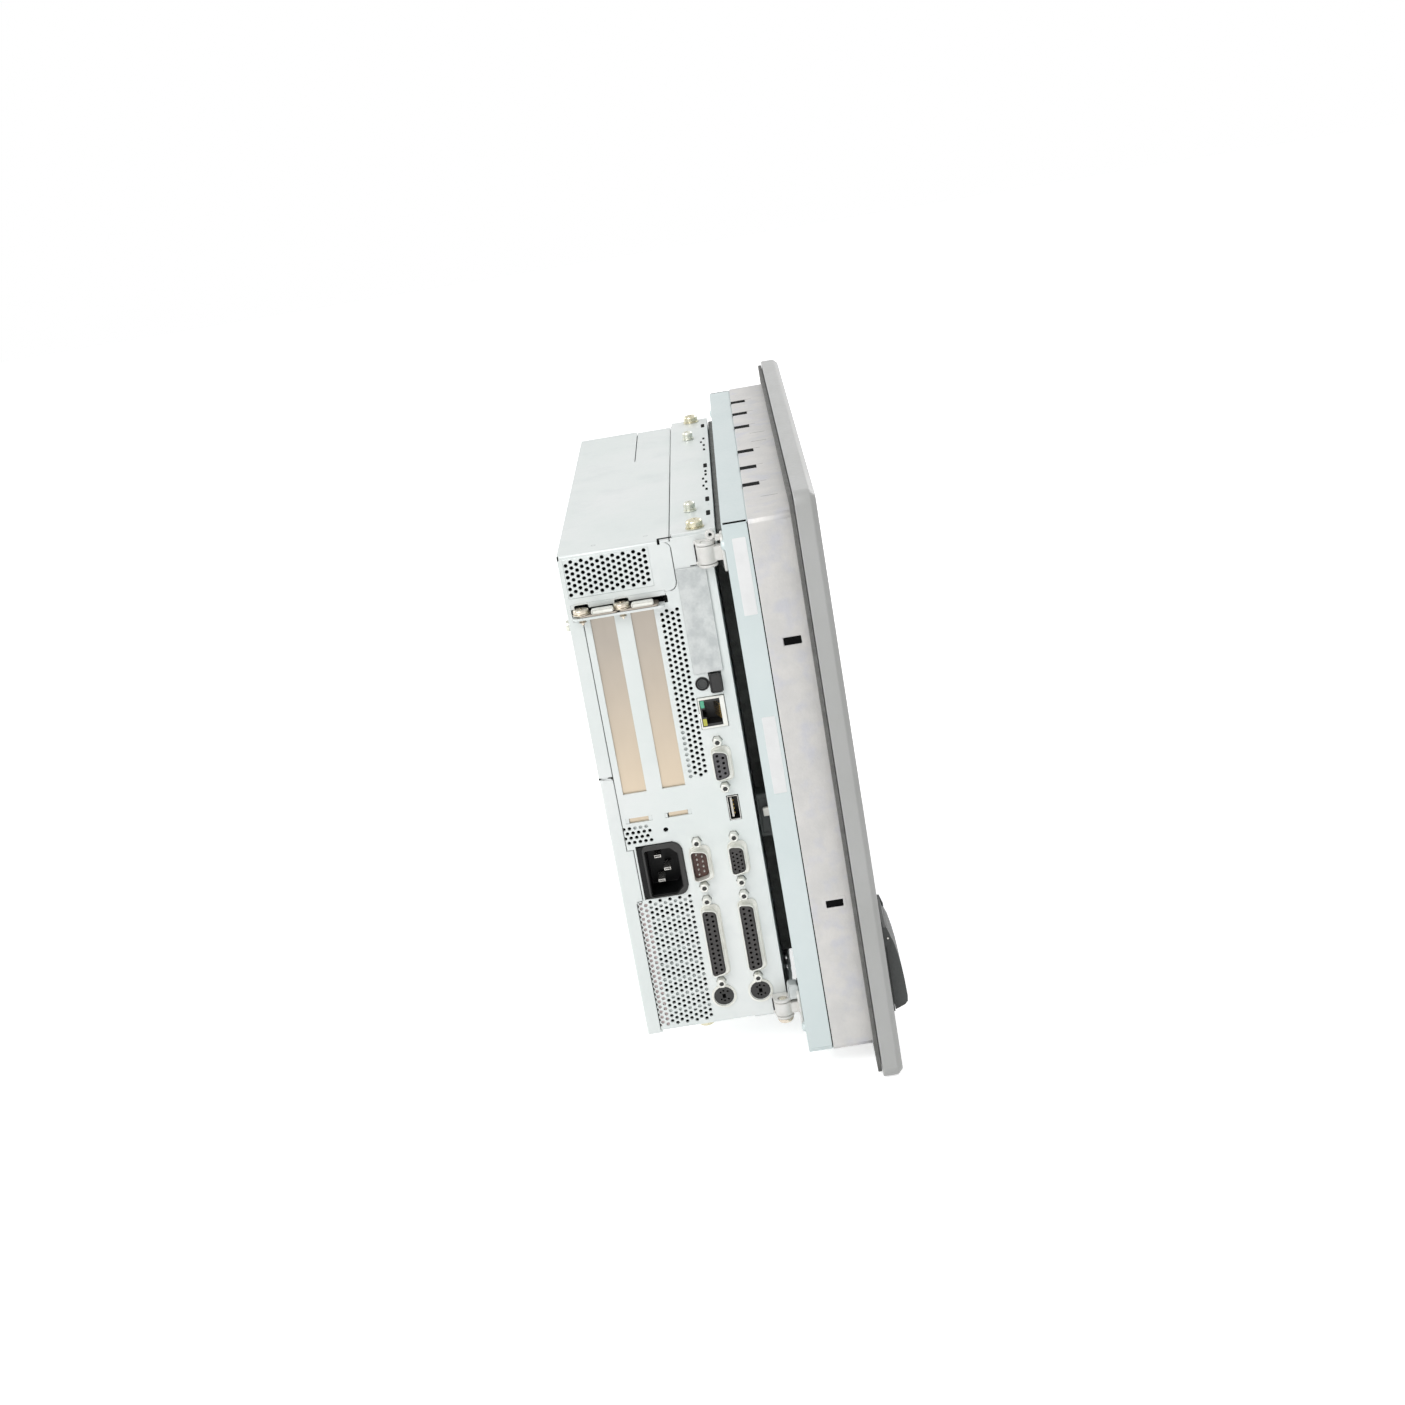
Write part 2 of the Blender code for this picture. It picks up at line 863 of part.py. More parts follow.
def hinge_leaf(name, height, barrel, parent):
    """Leaf on the computer unit's port panel, with an ear above and one below the barrel."""
    middle = computer_bottom + height
    inner = computer_left - seat_gap
    outer = hinge_x + hinge_barrel_radius + running_gap
    ear_low = barrel / 2 + running_gap
    reach = hinge_y + hinge_leaf_reach
    low = middle - ear_low - hinge_ear
    high = middle + ear_low + hinge_ear
    body = block((outer, computer_front, low), (inner, reach, high))
    ear_outline = [
        (inner, hinge_y - hinge_front_offset),
        (inner, reach),
        (hinge_x, hinge_y + hinge_barrel_radius),
    ]
    arc_steps = 6
    for i in range(1, arc_steps):
        angle = math.pi / 2 + math.pi * i / arc_steps
        ear_outline.append(
            (
                hinge_x + hinge_barrel_radius * math.cos(angle),
                hinge_y + hinge_barrel_radius * math.sin(angle),
            )
        )
    ear_outline.append((hinge_x, hinge_y - hinge_barrel_radius))
    ear_outline.append((hinge_x + hinge_barrel_radius / 2, hinge_y - hinge_barrel_radius))
    hole = circle(hinge_x, hinge_y, hinge_pin_radius + running_gap, 12)
    for near in (low, high - hinge_ear):
        body = fuse(body, plate("Z", near, near + hinge_ear, ear_outline, [hole]))
    return name_piece(body, name, "painted sheet", parent)


def hinge_pin(name, height, barrel, headed, parent):
    """The hinge's pin: plain, or with a screw's head under the lower ear."""
    middle = computer_bottom + height
    ear_face = barrel / 2 + running_gap + hinge_ear
    shank_top = middle + ear_face - seat_gap
    head_near = middle - ear_face - seat_gap
    if not headed:
        pin = rod("Z", head_near + 2 * seat_gap, shank_top, hinge_x, hinge_y, hinge_pin_radius)
        return name_piece(smooth(pin), name, "yellow zinc", parent)
    head_far = head_near - pin_head_height
    shank = rod("Z", head_near, shank_top, hinge_x, hinge_y, hinge_pin_radius)
    overlap = seat_gap / 2
    head = domed_head("Z", head_near + overlap, head_far, hinge_x, hinge_y, pin_head_radius, 16)
    return name_piece(smooth(fuse(head, shank)), name, "yellow zinc", parent)


# Computer unit: sheet-metal parts

cover_seam = 0.0004
top_flange_depth = 0.0193
slot_ledge_height = 0.2295
slot_ledge_reach = 0.0065
slot_ledge_rear = 0.0730
slot_ledge_front = 0.0270
screw_slot_height = 0.006
rear_strip = 0.0070
cover_split_height = 0.144
cover_flange_radius = 0.004
slot_pitch = 0.02032
slot_opening_width = 0.0113
slot_opening_low = 0.1338
slot_first_depth = 0.0595
slot_first_y = computer_front + slot_first_depth
slot_count = 2
tongue_slot_width = 0.0136
tongue_slot_height = 0.0028
tongue_slot_low = 0.1178


def ledge_top():
    return computer_bottom + slot_ledge_height


def slot_y(number):
    """Centre of an expansion slot; slot 0 is the rear one."""
    return slot_first_y - number * slot_pitch


def slot_opening(number):
    half = slot_opening_width / 2
    low = computer_bottom + slot_opening_low
    high = ledge_top() - sheet
    return rectangle(slot_y(number) - half, low, slot_y(number) + half, high)


# Ports: places from the computer unit's front and bottom faces
row_front = 0.0131
row_rear = 0.0325
keyboard_height = 0.0142
printer_height = 0.0464
screen_height = 0.0902
usb_port_height = 0.1178
bus_height = 0.1424
ethernet_height = 0.1702
ethernet_y = 0.0128
eject_height = 0.1857
eject_y = 0.0087
reset_y = 0.0156
inlet_y = 0.0522
inlet_height = 0.0898

dsub_shell_width = 0.0080
dsub_small_shell = 0.0165
dsub_large_shell = 0.0385
dsub_small_pitch = 0.02499
dsub_large_pitch = 0.04704
dsub_corner = 0.0018
dsub_slant = 0.0007
dsub_rise = 0.0045
dsub_flange_width = 0.0125
dsub_flange_margin = 0.0032
post_radius = 0.0025
post_hole = 0.0013
port_body_depth = 0.012
din_radius = 0.0050
ethernet_width = 0.0134
ethernet_length = 0.0165
inlet_width = 0.0232
inlet_length = 0.0294
inlet_corner = 0.0045
eject_width = 0.006
eject_length = 0.010
reset_radius = 0.0029

ports = {
    "bus_socket": (row_front, bus_height, "small", "female"),
    "com2_plug": (row_rear, screen_height, "small", "male"),
    "vga_socket": (row_front, screen_height, "small", "dense"),
    "com1_socket": (row_rear, printer_height, "large", "female"),
    "lpt_socket": (row_front, printer_height, "large", "female"),
}


def dsub_outline(length, width, centre_y, centre_z, grow=0.0):
    """D shape with its long side to the rear."""
    half = length / 2 + grow
    side = width / 2 + grow
    corners = [(-side, -half + dsub_slant), (side, -half), (side, half), (-side, half - dsub_slant)]
    return shifted(rounded(corners, dsub_corner + grow / 2, 2), centre_y, centre_z)


def dsub_size(size):
    if size == "large":
        return dsub_large_shell, dsub_large_pitch
    return dsub_small_shell, dsub_small_pitch


def inlet_outline(grow=0.0):
    """Mains inlet rim: a rectangle with its two front corners cut off."""
    y = computer_front + inlet_y
    z = computer_bottom + inlet_height
    half_y = inlet_width / 2 + grow
    half_z = inlet_length / 2 + grow
    cut_off = inlet_corner
    return [
        (y - half_y, z - half_z + cut_off),
        (y - half_y + cut_off, z - half_z),
        (y + half_y, z - half_z),
        (y + half_y, z + half_z),
        (y - half_y + cut_off, z + half_z),
        (y - half_y, z + half_z - cut_off),
    ]


def port_cutouts():
    """Outlines of every hole that a port or button needs in the port panel."""
    holes = []
    for depth, height, size, _ in ports.values():
        y = computer_front + depth
        z = computer_bottom + height
        shell, pitch = dsub_size(size)
        holes.append(dsub_outline(shell, dsub_shell_width, y, z, running_gap))
        for side in (-1, 1):
            holes.append(circle(y, z + side * pitch / 2, post_radius + running_gap, 6))
    for depth in (row_front, row_rear):
        holes.append(
            circle(
                computer_front + depth,
                computer_bottom + keyboard_height,
                din_radius + running_gap,
                16,
            )
        )
    half_width = usb_height / 2 + running_gap
    half_length = usb_width / 2 + running_gap
    usb_z = computer_bottom + usb_port_height
    usb_y = computer_front + row_front - usb_offset
    holes.append(
        rectangle(
            usb_y - half_width, usb_z - half_length, usb_y + half_width, usb_z + half_length
        )
    )
    lan_y = computer_front + ethernet_y
    lan_z = computer_bottom + ethernet_height
    half_width = ethernet_width / 2 + running_gap
    half_length = ethernet_length / 2 + running_gap
    holes.append(
        rectangle(
            lan_y - half_width, lan_z - half_length, lan_y + half_width, lan_z + half_length
        )
    )
    button_z = computer_bottom + eject_height
    half_width = eject_width / 2 + running_gap
    half_length = eject_length / 2 + running_gap
    holes.append(
        rectangle(
            computer_front + eject_y - half_width,
            button_z - half_length,
            computer_front + eject_y + half_width,
            button_z + half_length,
        )
    )
    holes.append(
        circle(computer_front + reset_y, button_z, reset_radius + running_gap, 12)
    )
    holes.append(inlet_outline(running_gap))
    middle, low, high = card_slot()
    holes.append(rectangle(middle - card_slot_half, low, middle + card_slot_half, high))
    return holes


card_slot_half = 0.0028
card_slot_edge = 0.001
card_cage_length = 0.0560
card_cage_thickness = 0.0100


def card_slot():
    """Middle of the card slot in depth, and its two ends in height."""
    low = computer_bottom + eject_height + eject_length / 2 + running_gap
    middle = board_rear() + seat_gap + card_cage_thickness / 2
    return middle, low + card_slot_edge, low + card_cage_length - card_slot_edge


usb_offset = 0.0026
inlet_step_margin = 0.0016


def inlet_step():
    """Where the rear cover's side flange steps forward beside the mains inlet."""
    z = computer_bottom + inlet_height
    half = inlet_length / 2
    front = computer_front + inlet_y + inlet_width / 2 + inlet_step_margin
    return front, z - half - inlet_step_margin, z + half - inlet_step_margin


def port_panel(parent):
    """The side with the ports: one flat punched sheet with the expansion slots' ledge."""
    rear = computer_rear - rear_strip - cover_seam
    low = computer_bottom
    ledge = ledge_top()
    slot_top = ledge + screw_slot_height
    flange_rear = computer_front + top_flange_depth
    high = computer_top - sheet - seat_gap
    slot_end = computer_front + slot_ledge_front - sheet
    step_y, step_low, step_high = inlet_step()
    outline = [
        (computer_front, low),
        (rear, low),
        (rear, step_low - cover_seam),
        (step_y - cover_seam, step_low - cover_seam),
        (step_y - cover_seam, step_high + cover_seam),
        (rear, step_high + cover_seam),
        (rear, ledge),
        (slot_end, ledge),
        (slot_end, slot_top),
        (flange_rear, slot_top),
        (flange_rear, high),
        (computer_front, high),
    ]
    holes = port_cutouts()
    for number in range(slot_count):
        holes.append(slot_opening(number))
        tongue_low = computer_bottom + tongue_slot_low
        half = tongue_slot_width / 2
        holes.append(
            rectangle(
                slot_y(number) - half,
                tongue_low,
                slot_y(number) + half,
                tongue_low + tongue_slot_height,
            )
        )
    column_inset = 0.0222
    column_rise = 0.1392
    column_front = computer_front + column_inset
    column_columns = 4
    column_pitch = vent_pitch * math.sqrt(3) / 2
    column_low = computer_bottom + column_rise
    column_high = ledge - vent_pitch
    holes += vent_holes(
        column_front,
        column_low,
        column_front + (column_columns - 1) * column_pitch,
        column_high,
        vent_sides,
    )
    small_drop = 0.0114
    small_inset = 0.0540
    small_low = tongue_low - small_drop
    small_columns = 6
    small_front = computer_front + small_inset
    holes += vent_holes(
        small_front,
        small_low,
        small_front + (small_columns - 1) * column_pitch,
        small_low + 3 * vent_pitch,
        vent_sides,
    )
    supply_inset = 0.0415
    supply_margin_share = 1.5
    coarse_share = 1.4
    supply_front = computer_front + supply_inset
    supply_low = computer_bottom + vent_pitch * supply_margin_share
    supply_high = step_low - vent_pitch
    coarse_pitch = vent_pitch * coarse_share
    holes += vent_holes(
        supply_front, supply_low, rear - vent_pitch / 2, supply_high, vent_sides, coarse_pitch
    )
    body = plate("X", computer_left, computer_left + sheet, outline, holes)
    ledge_corner = 0.002
    ledge_outline = rounded(
        [
            (computer_left - slot_ledge_reach, computer_front + slot_ledge_front),
            (computer_left + sheet / 2, computer_front + slot_ledge_front),
            (computer_left + sheet / 2, computer_front + slot_ledge_rear),
            (computer_left - slot_ledge_reach, computer_front + slot_ledge_rear),
        ],
        ledge_corner,
        2,
        only=(0, 3),
    )
    screw_x = computer_left - slot_screw_reach
    screw_holes = [
        circle(screw_x, slot_y(number) + slot_screw_offset, slot_shank + running_gap, 10)
        for number in range(slot_count)
    ]
    ledge_piece = plate("Z", ledge - sheet, ledge, ledge_outline, screw_holes)
    return name_piece(fuse(body, ledge_piece), "port_panel", "painted sheet", parent)


def chassis(parent):
    """Folded base: front wall, bottom, right wall and a top flange under the rail."""
    left = computer_left + sheet + seat_gap
    right = computer_right
    rear = computer_rear - sheet - seat_gap
    low = computer_bottom
    high = computer_top
    wall_top = high - sheet - drive_cover_drop - seat_gap
    flange_rear = computer_front + top_flange_depth
    plug_width = 0.070
    plug_height = 0.030
    front_hole = rounded(
        rectangle(left + plug_width, low + plug_height, left + 2 * plug_width, low + 2 * plug_height),
        plug_height / 6,
        2,
    )
    body = plate(
        "Y",
        computer_front,
        computer_front + sheet,
        rectangle(left, low, right, high),
        [front_hole],
    )
    bottom = block((left, computer_front, low), (right, rear, low + sheet))
    side = plate(
        "X",
        right - sheet,
        right,
        rectangle(computer_front, low, rear, wall_top),
        fan_grille(),
    )
    flange = block((computer_left, computer_front, high - sheet), (right, flange_rear, high))
    body = fuse(body, bottom, side, flange, captive_ear_piece(1), captive_ear_piece(-1))
    return name_piece(body, "chassis", "painted sheet", parent)


captive_height_share = 0.78
captive_radius = 0.0050
captive_grip = 0.0085
captive_shank = 0.0020
captive_ear = 0.0120


def captive_place(level):
    """Axis of a captive screw, in X and Z."""
    middle = (computer_top + computer_bottom) / 2
    return (
        computer_right + captive_ear / 2,
        middle + level * computer_height * captive_height_share / 2,
    )


def captive_ear_piece(level):
    """Ear on the chassis' front wall that a captive screw passes."""
    x, z = captive_place(level)
    corner = 0.003
    outline = rounded(
        rectangle(
            computer_right - sheet, z - captive_ear, computer_right + captive_ear, z + captive_ear
        ),
        corner,
        2,
        only=(1, 2),
    )
    hole = circle(x, z, captive_shank + running_gap, 12)
    return plate("Y", computer_front, computer_front + sheet, outline, [hole])


fan_size = 0.060
fan_depth = 0.015
fan_disk_gap = 0.0166
fan_centre_depth = 0.040
fan_bore = 0.0278
fan_hub = 0.0115
drive_cover_drop = 0.0006


def fan_centre():
    """The fan's axis in Y and Z; it keeps its distance under the disk."""
    disk_low = disk_box()[0].z
    return computer_front + fan_centre_depth, disk_low - fan_disk_gap - fan_size / 2


def fan_grille():
    """Slots of the fan's grille: arcs in three rings, with four bridges."""
    y, z = fan_centre()
    ring_gap = 0.0048
    slot = 0.0036
    rings = 4
    bridge = 0.0028
    arc_steps = 4
    holes = []
    for ring in range(rings):
        inner = fan_hub / 2 + ring * ring_gap
        outer = inner + slot
        for quarter in range(4):
            margin = bridge / 2 / inner
            start = math.pi / 2 * quarter + margin
            end = math.pi / 2 * (quarter + 1) - margin
            arc = []
            for i in range(arc_steps + 1):
                angle = start + (end - start) * i / arc_steps
                arc.append((y + outer * math.cos(angle), z + outer * math.sin(angle)))
            for i in range(arc_steps + 1):
                angle = end - (end - start) * i / arc_steps
                arc.append((y + inner * math.cos(angle), z + inner * math.sin(angle)))
            holes.append(arc)
    return holes


drive_bay_left = 0.2049
drive_bay_rear = 0.0406


def top_cover(parent):
    """Cover over the top, the upper rear and, on the port side, a vented flange with a strip."""
    left = computer_left
    right = computer_right
    high = computer_top
    front = computer_front + top_flange_depth + cover_seam
    rear = computer_rear
    split = computer_bottom + cover_split_height + cover_seam
    bay_x = left + drive_bay_left
    bay_y = computer_front + drive_bay_rear
    top = plate(
        "Z",
        high - sheet,
        high,
        [(left, front), (bay_x, front), (bay_x, bay_y), (right, bay_y), (right, rear), (left, rear)],
    )
    back = block((left, rear - sheet, split), (right, rear, high - sheet / 2))
    strip_front = computer_rear - rear_strip
    ledge = ledge_top()
    slot_top = ledge + screw_slot_height
    notch_rear = computer_front + slot_ledge_rear + cover_seam
    flange_outline = rounded(
        [
            (front, slot_top + cover_seam),
            (notch_rear, slot_top + cover_seam),
            (notch_rear, ledge - sheet - cover_seam),
            (strip_front, ledge - sheet - cover_seam),
            (strip_front, split),
            (rear, split),
            (rear, high),
            (front, high),
        ],
        cover_flange_radius,
        3,
        only=(0,),
    )
    field_front_margin = 0.0121
    field_low_margin = 0.0056
    field_rear_margin = 0.0036
    field_top_margin = 0.0034
    field_front = front + field_front_margin
    field_low = slot_top + field_low_margin
    field_rear = rear - field_rear_margin
    field_high = high - field_top_margin
    holes = vent_holes(field_front, field_low, field_rear, field_high - vent_pitch / 2, 6)
    flange = plate("X", left, left + sheet, flange_outline, holes)
    return name_piece(fuse(top, back, flange), "top_cover", "painted sheet", parent)


def drive_bay_cover(parent):
    """Small cover over the drive bay, set a little lower than the top cover."""
    front = computer_front + top_flange_depth + cover_seam
    rear = computer_front + drive_bay_rear - cover_seam
    left = computer_left + drive_bay_left + cover_seam
    high = computer_top - drive_cover_drop
    body = block((left, front, high - sheet), (computer_right, rear, high))
    return name_piece(body, "drive_bay_cover", "painted sheet", parent)


def rear_cover(parent):
    """Lower rear cover, with a side flange that steps round the mains inlet."""
    left = computer_left
    right = computer_right
    rear = computer_rear
    low = computer_bottom - sheet - seat_gap
    split = computer_bottom + cover_split_height
    lip = 0.008
    folded = plate(
        "X",
        left,
        right,
        [
            (rear - lip, low),
            (rear, low),
            (rear, split),
            (rear - sheet, split),
            (rear - sheet, low + sheet),
            (rear - lip, low + sheet),
        ],
    )
    strip_front = rear - rear_strip
    step_y, step_low, step_high = inlet_step()
    flange_low = low + sheet / 2
    flange_high = split - seat_gap
    flange_rear = rear - sheet / 2
    outline = rounded(
        [
            (strip_front, flange_low),
            (flange_rear, flange_low),
            (flange_rear, flange_high),
            (strip_front, flange_high),
            (strip_front, step_high),
            (step_y, step_high),
            (step_y, step_low),
            (strip_front, step_low),
        ],
        cover_flange_radius / 2,
        3,
        only=(3,),
    )
    flange = plate("X", left, left + sheet, outline)
    return name_piece(fuse(folded, flange), "rear_cover", "painted sheet", parent)


rail_side_inset = 0.0015
rail_depth = 0.0205
rail_apron = 0.0155
rail_front_gap = 0.0036
rail_slot_width = 0.005
rail_slot_length = 0.0022
rail_slot_shares = (0.06, 0.17, 0.25, 0.33, 0.37, 0.41, 0.46, 0.54, 0.71, 0.78, 0.82, 0.95)
rail_top_gap = 0.0003


def rail(name, level, parent):
    """Angle rail along the computer unit's front edge, with small slots along its fold."""
    left = computer_left + rail_side_inset
    right = computer_right + rail_side_inset / 2
    rear = computer_front + top_flange_depth - rail_side_inset / 2
    front = computer_front - rail_front_gap
    face = computer_top if level > 0 else computer_bottom
    near = face + level * rail_top_gap
    far = near + level * sheet
    end = far - level * rail_apron
    leaf = block((left, front, min(near, far)), (right, rear, max(near, far)))
    apron = block((left, front, min(end, far)), (right, front + sheet, max(end, far)))
    body = fuse(leaf, apron)
    length = right - left
    cutters = []
    for share in rail_slot_shares:
        middle = right - share * length
        deep = far - level * rail_slot_length
        cutters.append(
            block(
                (middle - rail_slot_width / 2, front - cut_overrun, min(deep, far + level * cut_overrun)),
                (
                    middle + rail_slot_width / 2,
                    front + sheet + rail_slot_length / 2,
                    max(deep, far + level * cut_overrun),
                ),
            )
        )
    return name_piece(cut(body, *cutters), name, "painted sheet", parent)


# Screws on the computer unit
rail_screw_inset = 0.0065
rail_screw_depth = 0.0063
big_head_radius = 0.0041
big_head_height = 0.0036
big_washer_radius = 0.0047
big_washer = 0.0010
small_head_radius = 0.0029
small_head_height = 0.0045
cover_head_radius = 0.0030
cover_head_height = 0.0022
bottom_head_radius = 0.0040
small_screw_depth = 0.0084
small_screw_left = 0.0465
small_screw_right = 0.0605
cover_screw_side = 0.0062
cover_screw_drop = 0.0371
bottom_screw_side = 0.0065
bottom_screw_depth = 0.0442


def pan_screw(name, axis, near, side, u, v, radius, height, parent, washer=False):
    """A pan-head screw that sits a seat's gap above its sheet; its shank isn't modelled."""
    start = near + side * seat_gap
    body = None
    if washer:
        edge = start + side * big_washer
        body = rod(axis, min(start, edge), max(start, edge), u, v, big_washer_radius, 16)
        start = edge - side * big_washer / 4
    head = domed_head(axis, start, near + side * (seat_gap + height), u, v, radius, 12)
    if body:
        head = fuse(head, body)
    return name_piece(smooth(head), name, "yellow zinc", parent)


def unit_screws(parent):
    rail_face = computer_top + rail_top_gap + sheet
    front = computer_front
    big_y = front + rail_screw_depth
    left_x = computer_left + rail_side_inset + rail_screw_inset
    right_x = computer_right - rail_screw_inset
    height = big_head_height + big_washer
    pan_screw("rail_screw_left", "Z", rail_face, 1, left_x, big_y, big_head_radius, height, parent, True)
    pan_screw("rail_screw_right", "Z", rail_face, 1, right_x, big_y, big_head_radius, height, parent, True)
    small_y = front + small_screw_depth
    small_left = computer_left + small_screw_left
    small_right = computer_right - small_screw_right
    pan_screw(
        "rail_screw_inner_left", "Z", rail_face, 1, small_left, small_y,
        small_head_radius, small_head_height, parent,
    )
    pan_screw(
        "rail_screw_inner_right", "Z", rail_face, 1, small_right, small_y,
        small_head_radius, small_head_height, parent,
    )
    rear_x = computer_left + cover_screw_side
    rear_z = computer_top - cover_screw_drop
    pan_screw(
        "top_cover_screw", "Y", computer_rear, 1, rear_x, rear_z,
        cover_head_radius, cover_head_height, parent,
    )
    bottom_y = front + bottom_screw_depth
    bottom_x = computer_left + bottom_screw_side
    pan_screw(
        "bottom_screw", "Z", computer_bottom, -1, bottom_x, bottom_y,
        bottom_head_radius, cover_head_height, parent,
    )


# Expansion slot covers

bracket_sheet = 0.0009
bracket_width = 0.0184
bracket_tab_reach = 0.0070
bracket_tab_width = 0.0195
bracket_tongue_width = 0.0102
bracket_shoulder = 0.1290
bracket_foot = 0.1150


def slot_cover(number, parent):
    """Blank bracket behind a slot's opening, with its tab bent out over the ledge."""
    inner = computer_left + sheet + seat_gap
    middle = slot_y(number)
    base = ledge_top() + seat_gap
    top = base + bracket_sheet
    half = bracket_width / 2
    shoulder = computer_bottom + bracket_shoulder
    foot = computer_bottom + bracket_foot
    tongue = bracket_tongue_width / 2
    outline = [
        (middle - tongue, foot),
        (middle + tongue, foot),
        (middle + tongue, shoulder - tongue / 2),
        (middle + half, shoulder),
        (middle + half, top),
        (middle - half, top),
        (middle - half, shoulder),
        (middle - tongue, shoulder - tongue / 2),
    ]
    body = plate("X", inner, inner + bracket_sheet, outline)
    tab_rear = middle + half + bracket_tab_width - bracket_width
    corner = 0.0015
    tab_outline = rounded(
        [
            (computer_left - bracket_tab_reach, middle - half),
            (inner + bracket_sheet, middle - half),
            (inner + bracket_sheet, tab_rear),
            (computer_left - bracket_tab_reach, tab_rear),
        ],
        corner,
        2,
        only=(0, 3),
    )
    tab = plate("Z", base, top, tab_outline)
    notch = rod(
        "Z",
        base - cut_overrun,
        top + cut_overrun,
        computer_left - slot_screw_reach,
        middle + slot_screw_offset,
        slot_shank + running_gap,
        10,
    )
    tab = cut(tab, notch)
    return name_piece(fuse(body, tab), "slot_cover_%d" % (number + 1), "stainless", parent)


slot_screw_offset = 0.0090
slot_screw_reach = 0.0030
slot_screw_radius = 0.0034
slot_screw_head = 0.0028
slot_screw_tip = 0.0025
slot_shank = 0.0014


def slot_screw(number, parent):
    """Screw through the bracket's notch and the ledge's hole, with its tip below the ledge."""
    x = computer_left - slot_screw_reach
    y = slot_y(number) + slot_screw_offset
    near = ledge_top() + bracket_sheet + 2 * seat_gap
    head = domed_head("Z", near, near + slot_screw_head, x, y, slot_screw_radius, 12)
    tip = ledge_top() - sheet - slot_screw_tip
    shank = rod("Z", tip, near + slot_screw_head / 3, x, y, slot_shank, 10)
    name = "slot_screw_%d" % (number + 1)
    return name_piece(smooth(fuse(head, shank)), name, "yellow zinc", parent)


# Ports, buttons and the mains inlet

dsub_pin_pitch = 0.00277
dsub_row_pitch = 0.00284
dsub_hole = 0.0006
dsub_hole_depth = 0.003
dense_pin_pitch = 0.0023
dense_row_pitch = 0.0020
male_pin = 0.0005


def pin_places(size, kind):
    """Places of a connector's contacts about its centre, as depth and height."""
    places = []
    if kind == "dense":
        for row in (-1, 0, 1):
            for i in range(5):
                shift = dense_pin_pitch / 4 * (1 if row == 0 else -1)
                places.append((row * dense_row_pitch, (i - 2) * dense_pin_pitch + shift))
        return places
    long_row = 13 if size == "large" else 5
    for i in range(long_row):
        places.append((dsub_row_pitch / 2, (i - (long_row - 1) / 2) * dsub_pin_pitch))
    for i in range(long_row - 1):
        places.append((-dsub_row_pitch / 2, (i - (long_row - 2) / 2) * dsub_pin_pitch))
    return places


def dsub_port(name, parent):
    """D connector: a flange behind the panel, a shell through it and two threaded posts."""
    depth, height, size, kind = ports[name]
    y = computer_front + depth
    z = computer_bottom + height
    shell_length, pitch = dsub_size(size)
    flange_rear = computer_left + sheet + seat_gap
    flange_front = flange_rear + bracket_sheet
    tip = computer_left - dsub_rise
    half_flange = pitch / 2 + dsub_flange_margin
    body = block(
        (flange_front - bracket_sheet / 2, y - dsub_shell_width / 2, z - shell_length / 2),
        (flange_rear + port_body_depth, y + dsub_shell_width / 2, z + shell_length / 2),
    )
    flange = block(
        (flange_rear, y - dsub_flange_width / 2 + dsub_slant, z - half_flange),
        (flange_front, y + dsub_flange_width / 2 - dsub_slant, z + half_flange),
    )
    shell_outline = dsub_outline(shell_length, dsub_shell_width, y, z)
    if kind == "male":
        wall = 0.0005
        cavity = dsub_outline(shell_length - 2 * wall, dsub_shell_width - 2 * wall, y, z)
        shell = plate("X", tip, flange_rear + bracket_sheet / 2, shell_outline, [cavity])
        pins = [
            rod(
                "X", tip + wall, flange_front - bracket_sheet / 4, y + row, z + along, male_pin, 5
            )
            for row, along in pin_places(size, kind)
        ]
        body = fuse(body, flange, shell, *pins)
    else:
        holes = [
            circle(y + row, z + along, dsub_hole, 4) for row, along in pin_places(size, kind)
        ]
        face = plate("X", tip, tip + dsub_hole_depth, shell_outline, holes)
        backing = plate("X", tip + dsub_hole_depth / 1.5, flange_rear + bracket_sheet / 2, shell_outline)
        body = fuse(body, flange, backing, face)
    for side in (-1, 1):
        post_z = z + side * pitch / 2
        hole = circle(y, post_z, post_hole, 6)
        post = plate("X", tip, flange_rear + bracket_sheet / 2, circle(y, post_z, post_radius, 6), [hole])
        body = fuse(body, post)
    return name_piece(body, name, "connector shell", parent)


def usb_socket(parent):
    y = computer_front + row_front - usb_offset
    z = computer_bottom + usb_port_height
    half_width = usb_height / 2
    half_length = usb_width / 2
    front = computer_left - usb_wall
    rear = computer_left + port_body_depth
    shell = block((front, y - half_width, z - half_length), (rear, y + half_width, z + half_length))
    mouth = block(
        (front - cut_overrun, y - half_width + usb_wall, z - half_length + usb_wall),
        (rear - cut_overrun, y + half_width - usb_wall, z + half_length - usb_wall),
    )
    shell = cut(shell, mouth)
    tongue_side = y + half_width - 2 * usb_wall
    tongue = block(
        (front + usb_wall, tongue_side - usb_tongue, z - half_length + 2 * usb_wall),
        (rear - usb_wall, tongue_side, z + half_length - 2 * usb_wall),
    )
    return name_piece(fuse(shell, tongue), "usb_socket", "connector shell", parent)


ethernet_rise = 0.0008
ethernet_wall = 0.0008
ethernet_mouth_width = 0.0082
ethernet_mouth_length = 0.0118
ethernet_mouth_depth = 0.0100
ethernet_latch_width = 0.0016
ethernet_latch_length = 0.0042
ethernet_offset = 0.0004


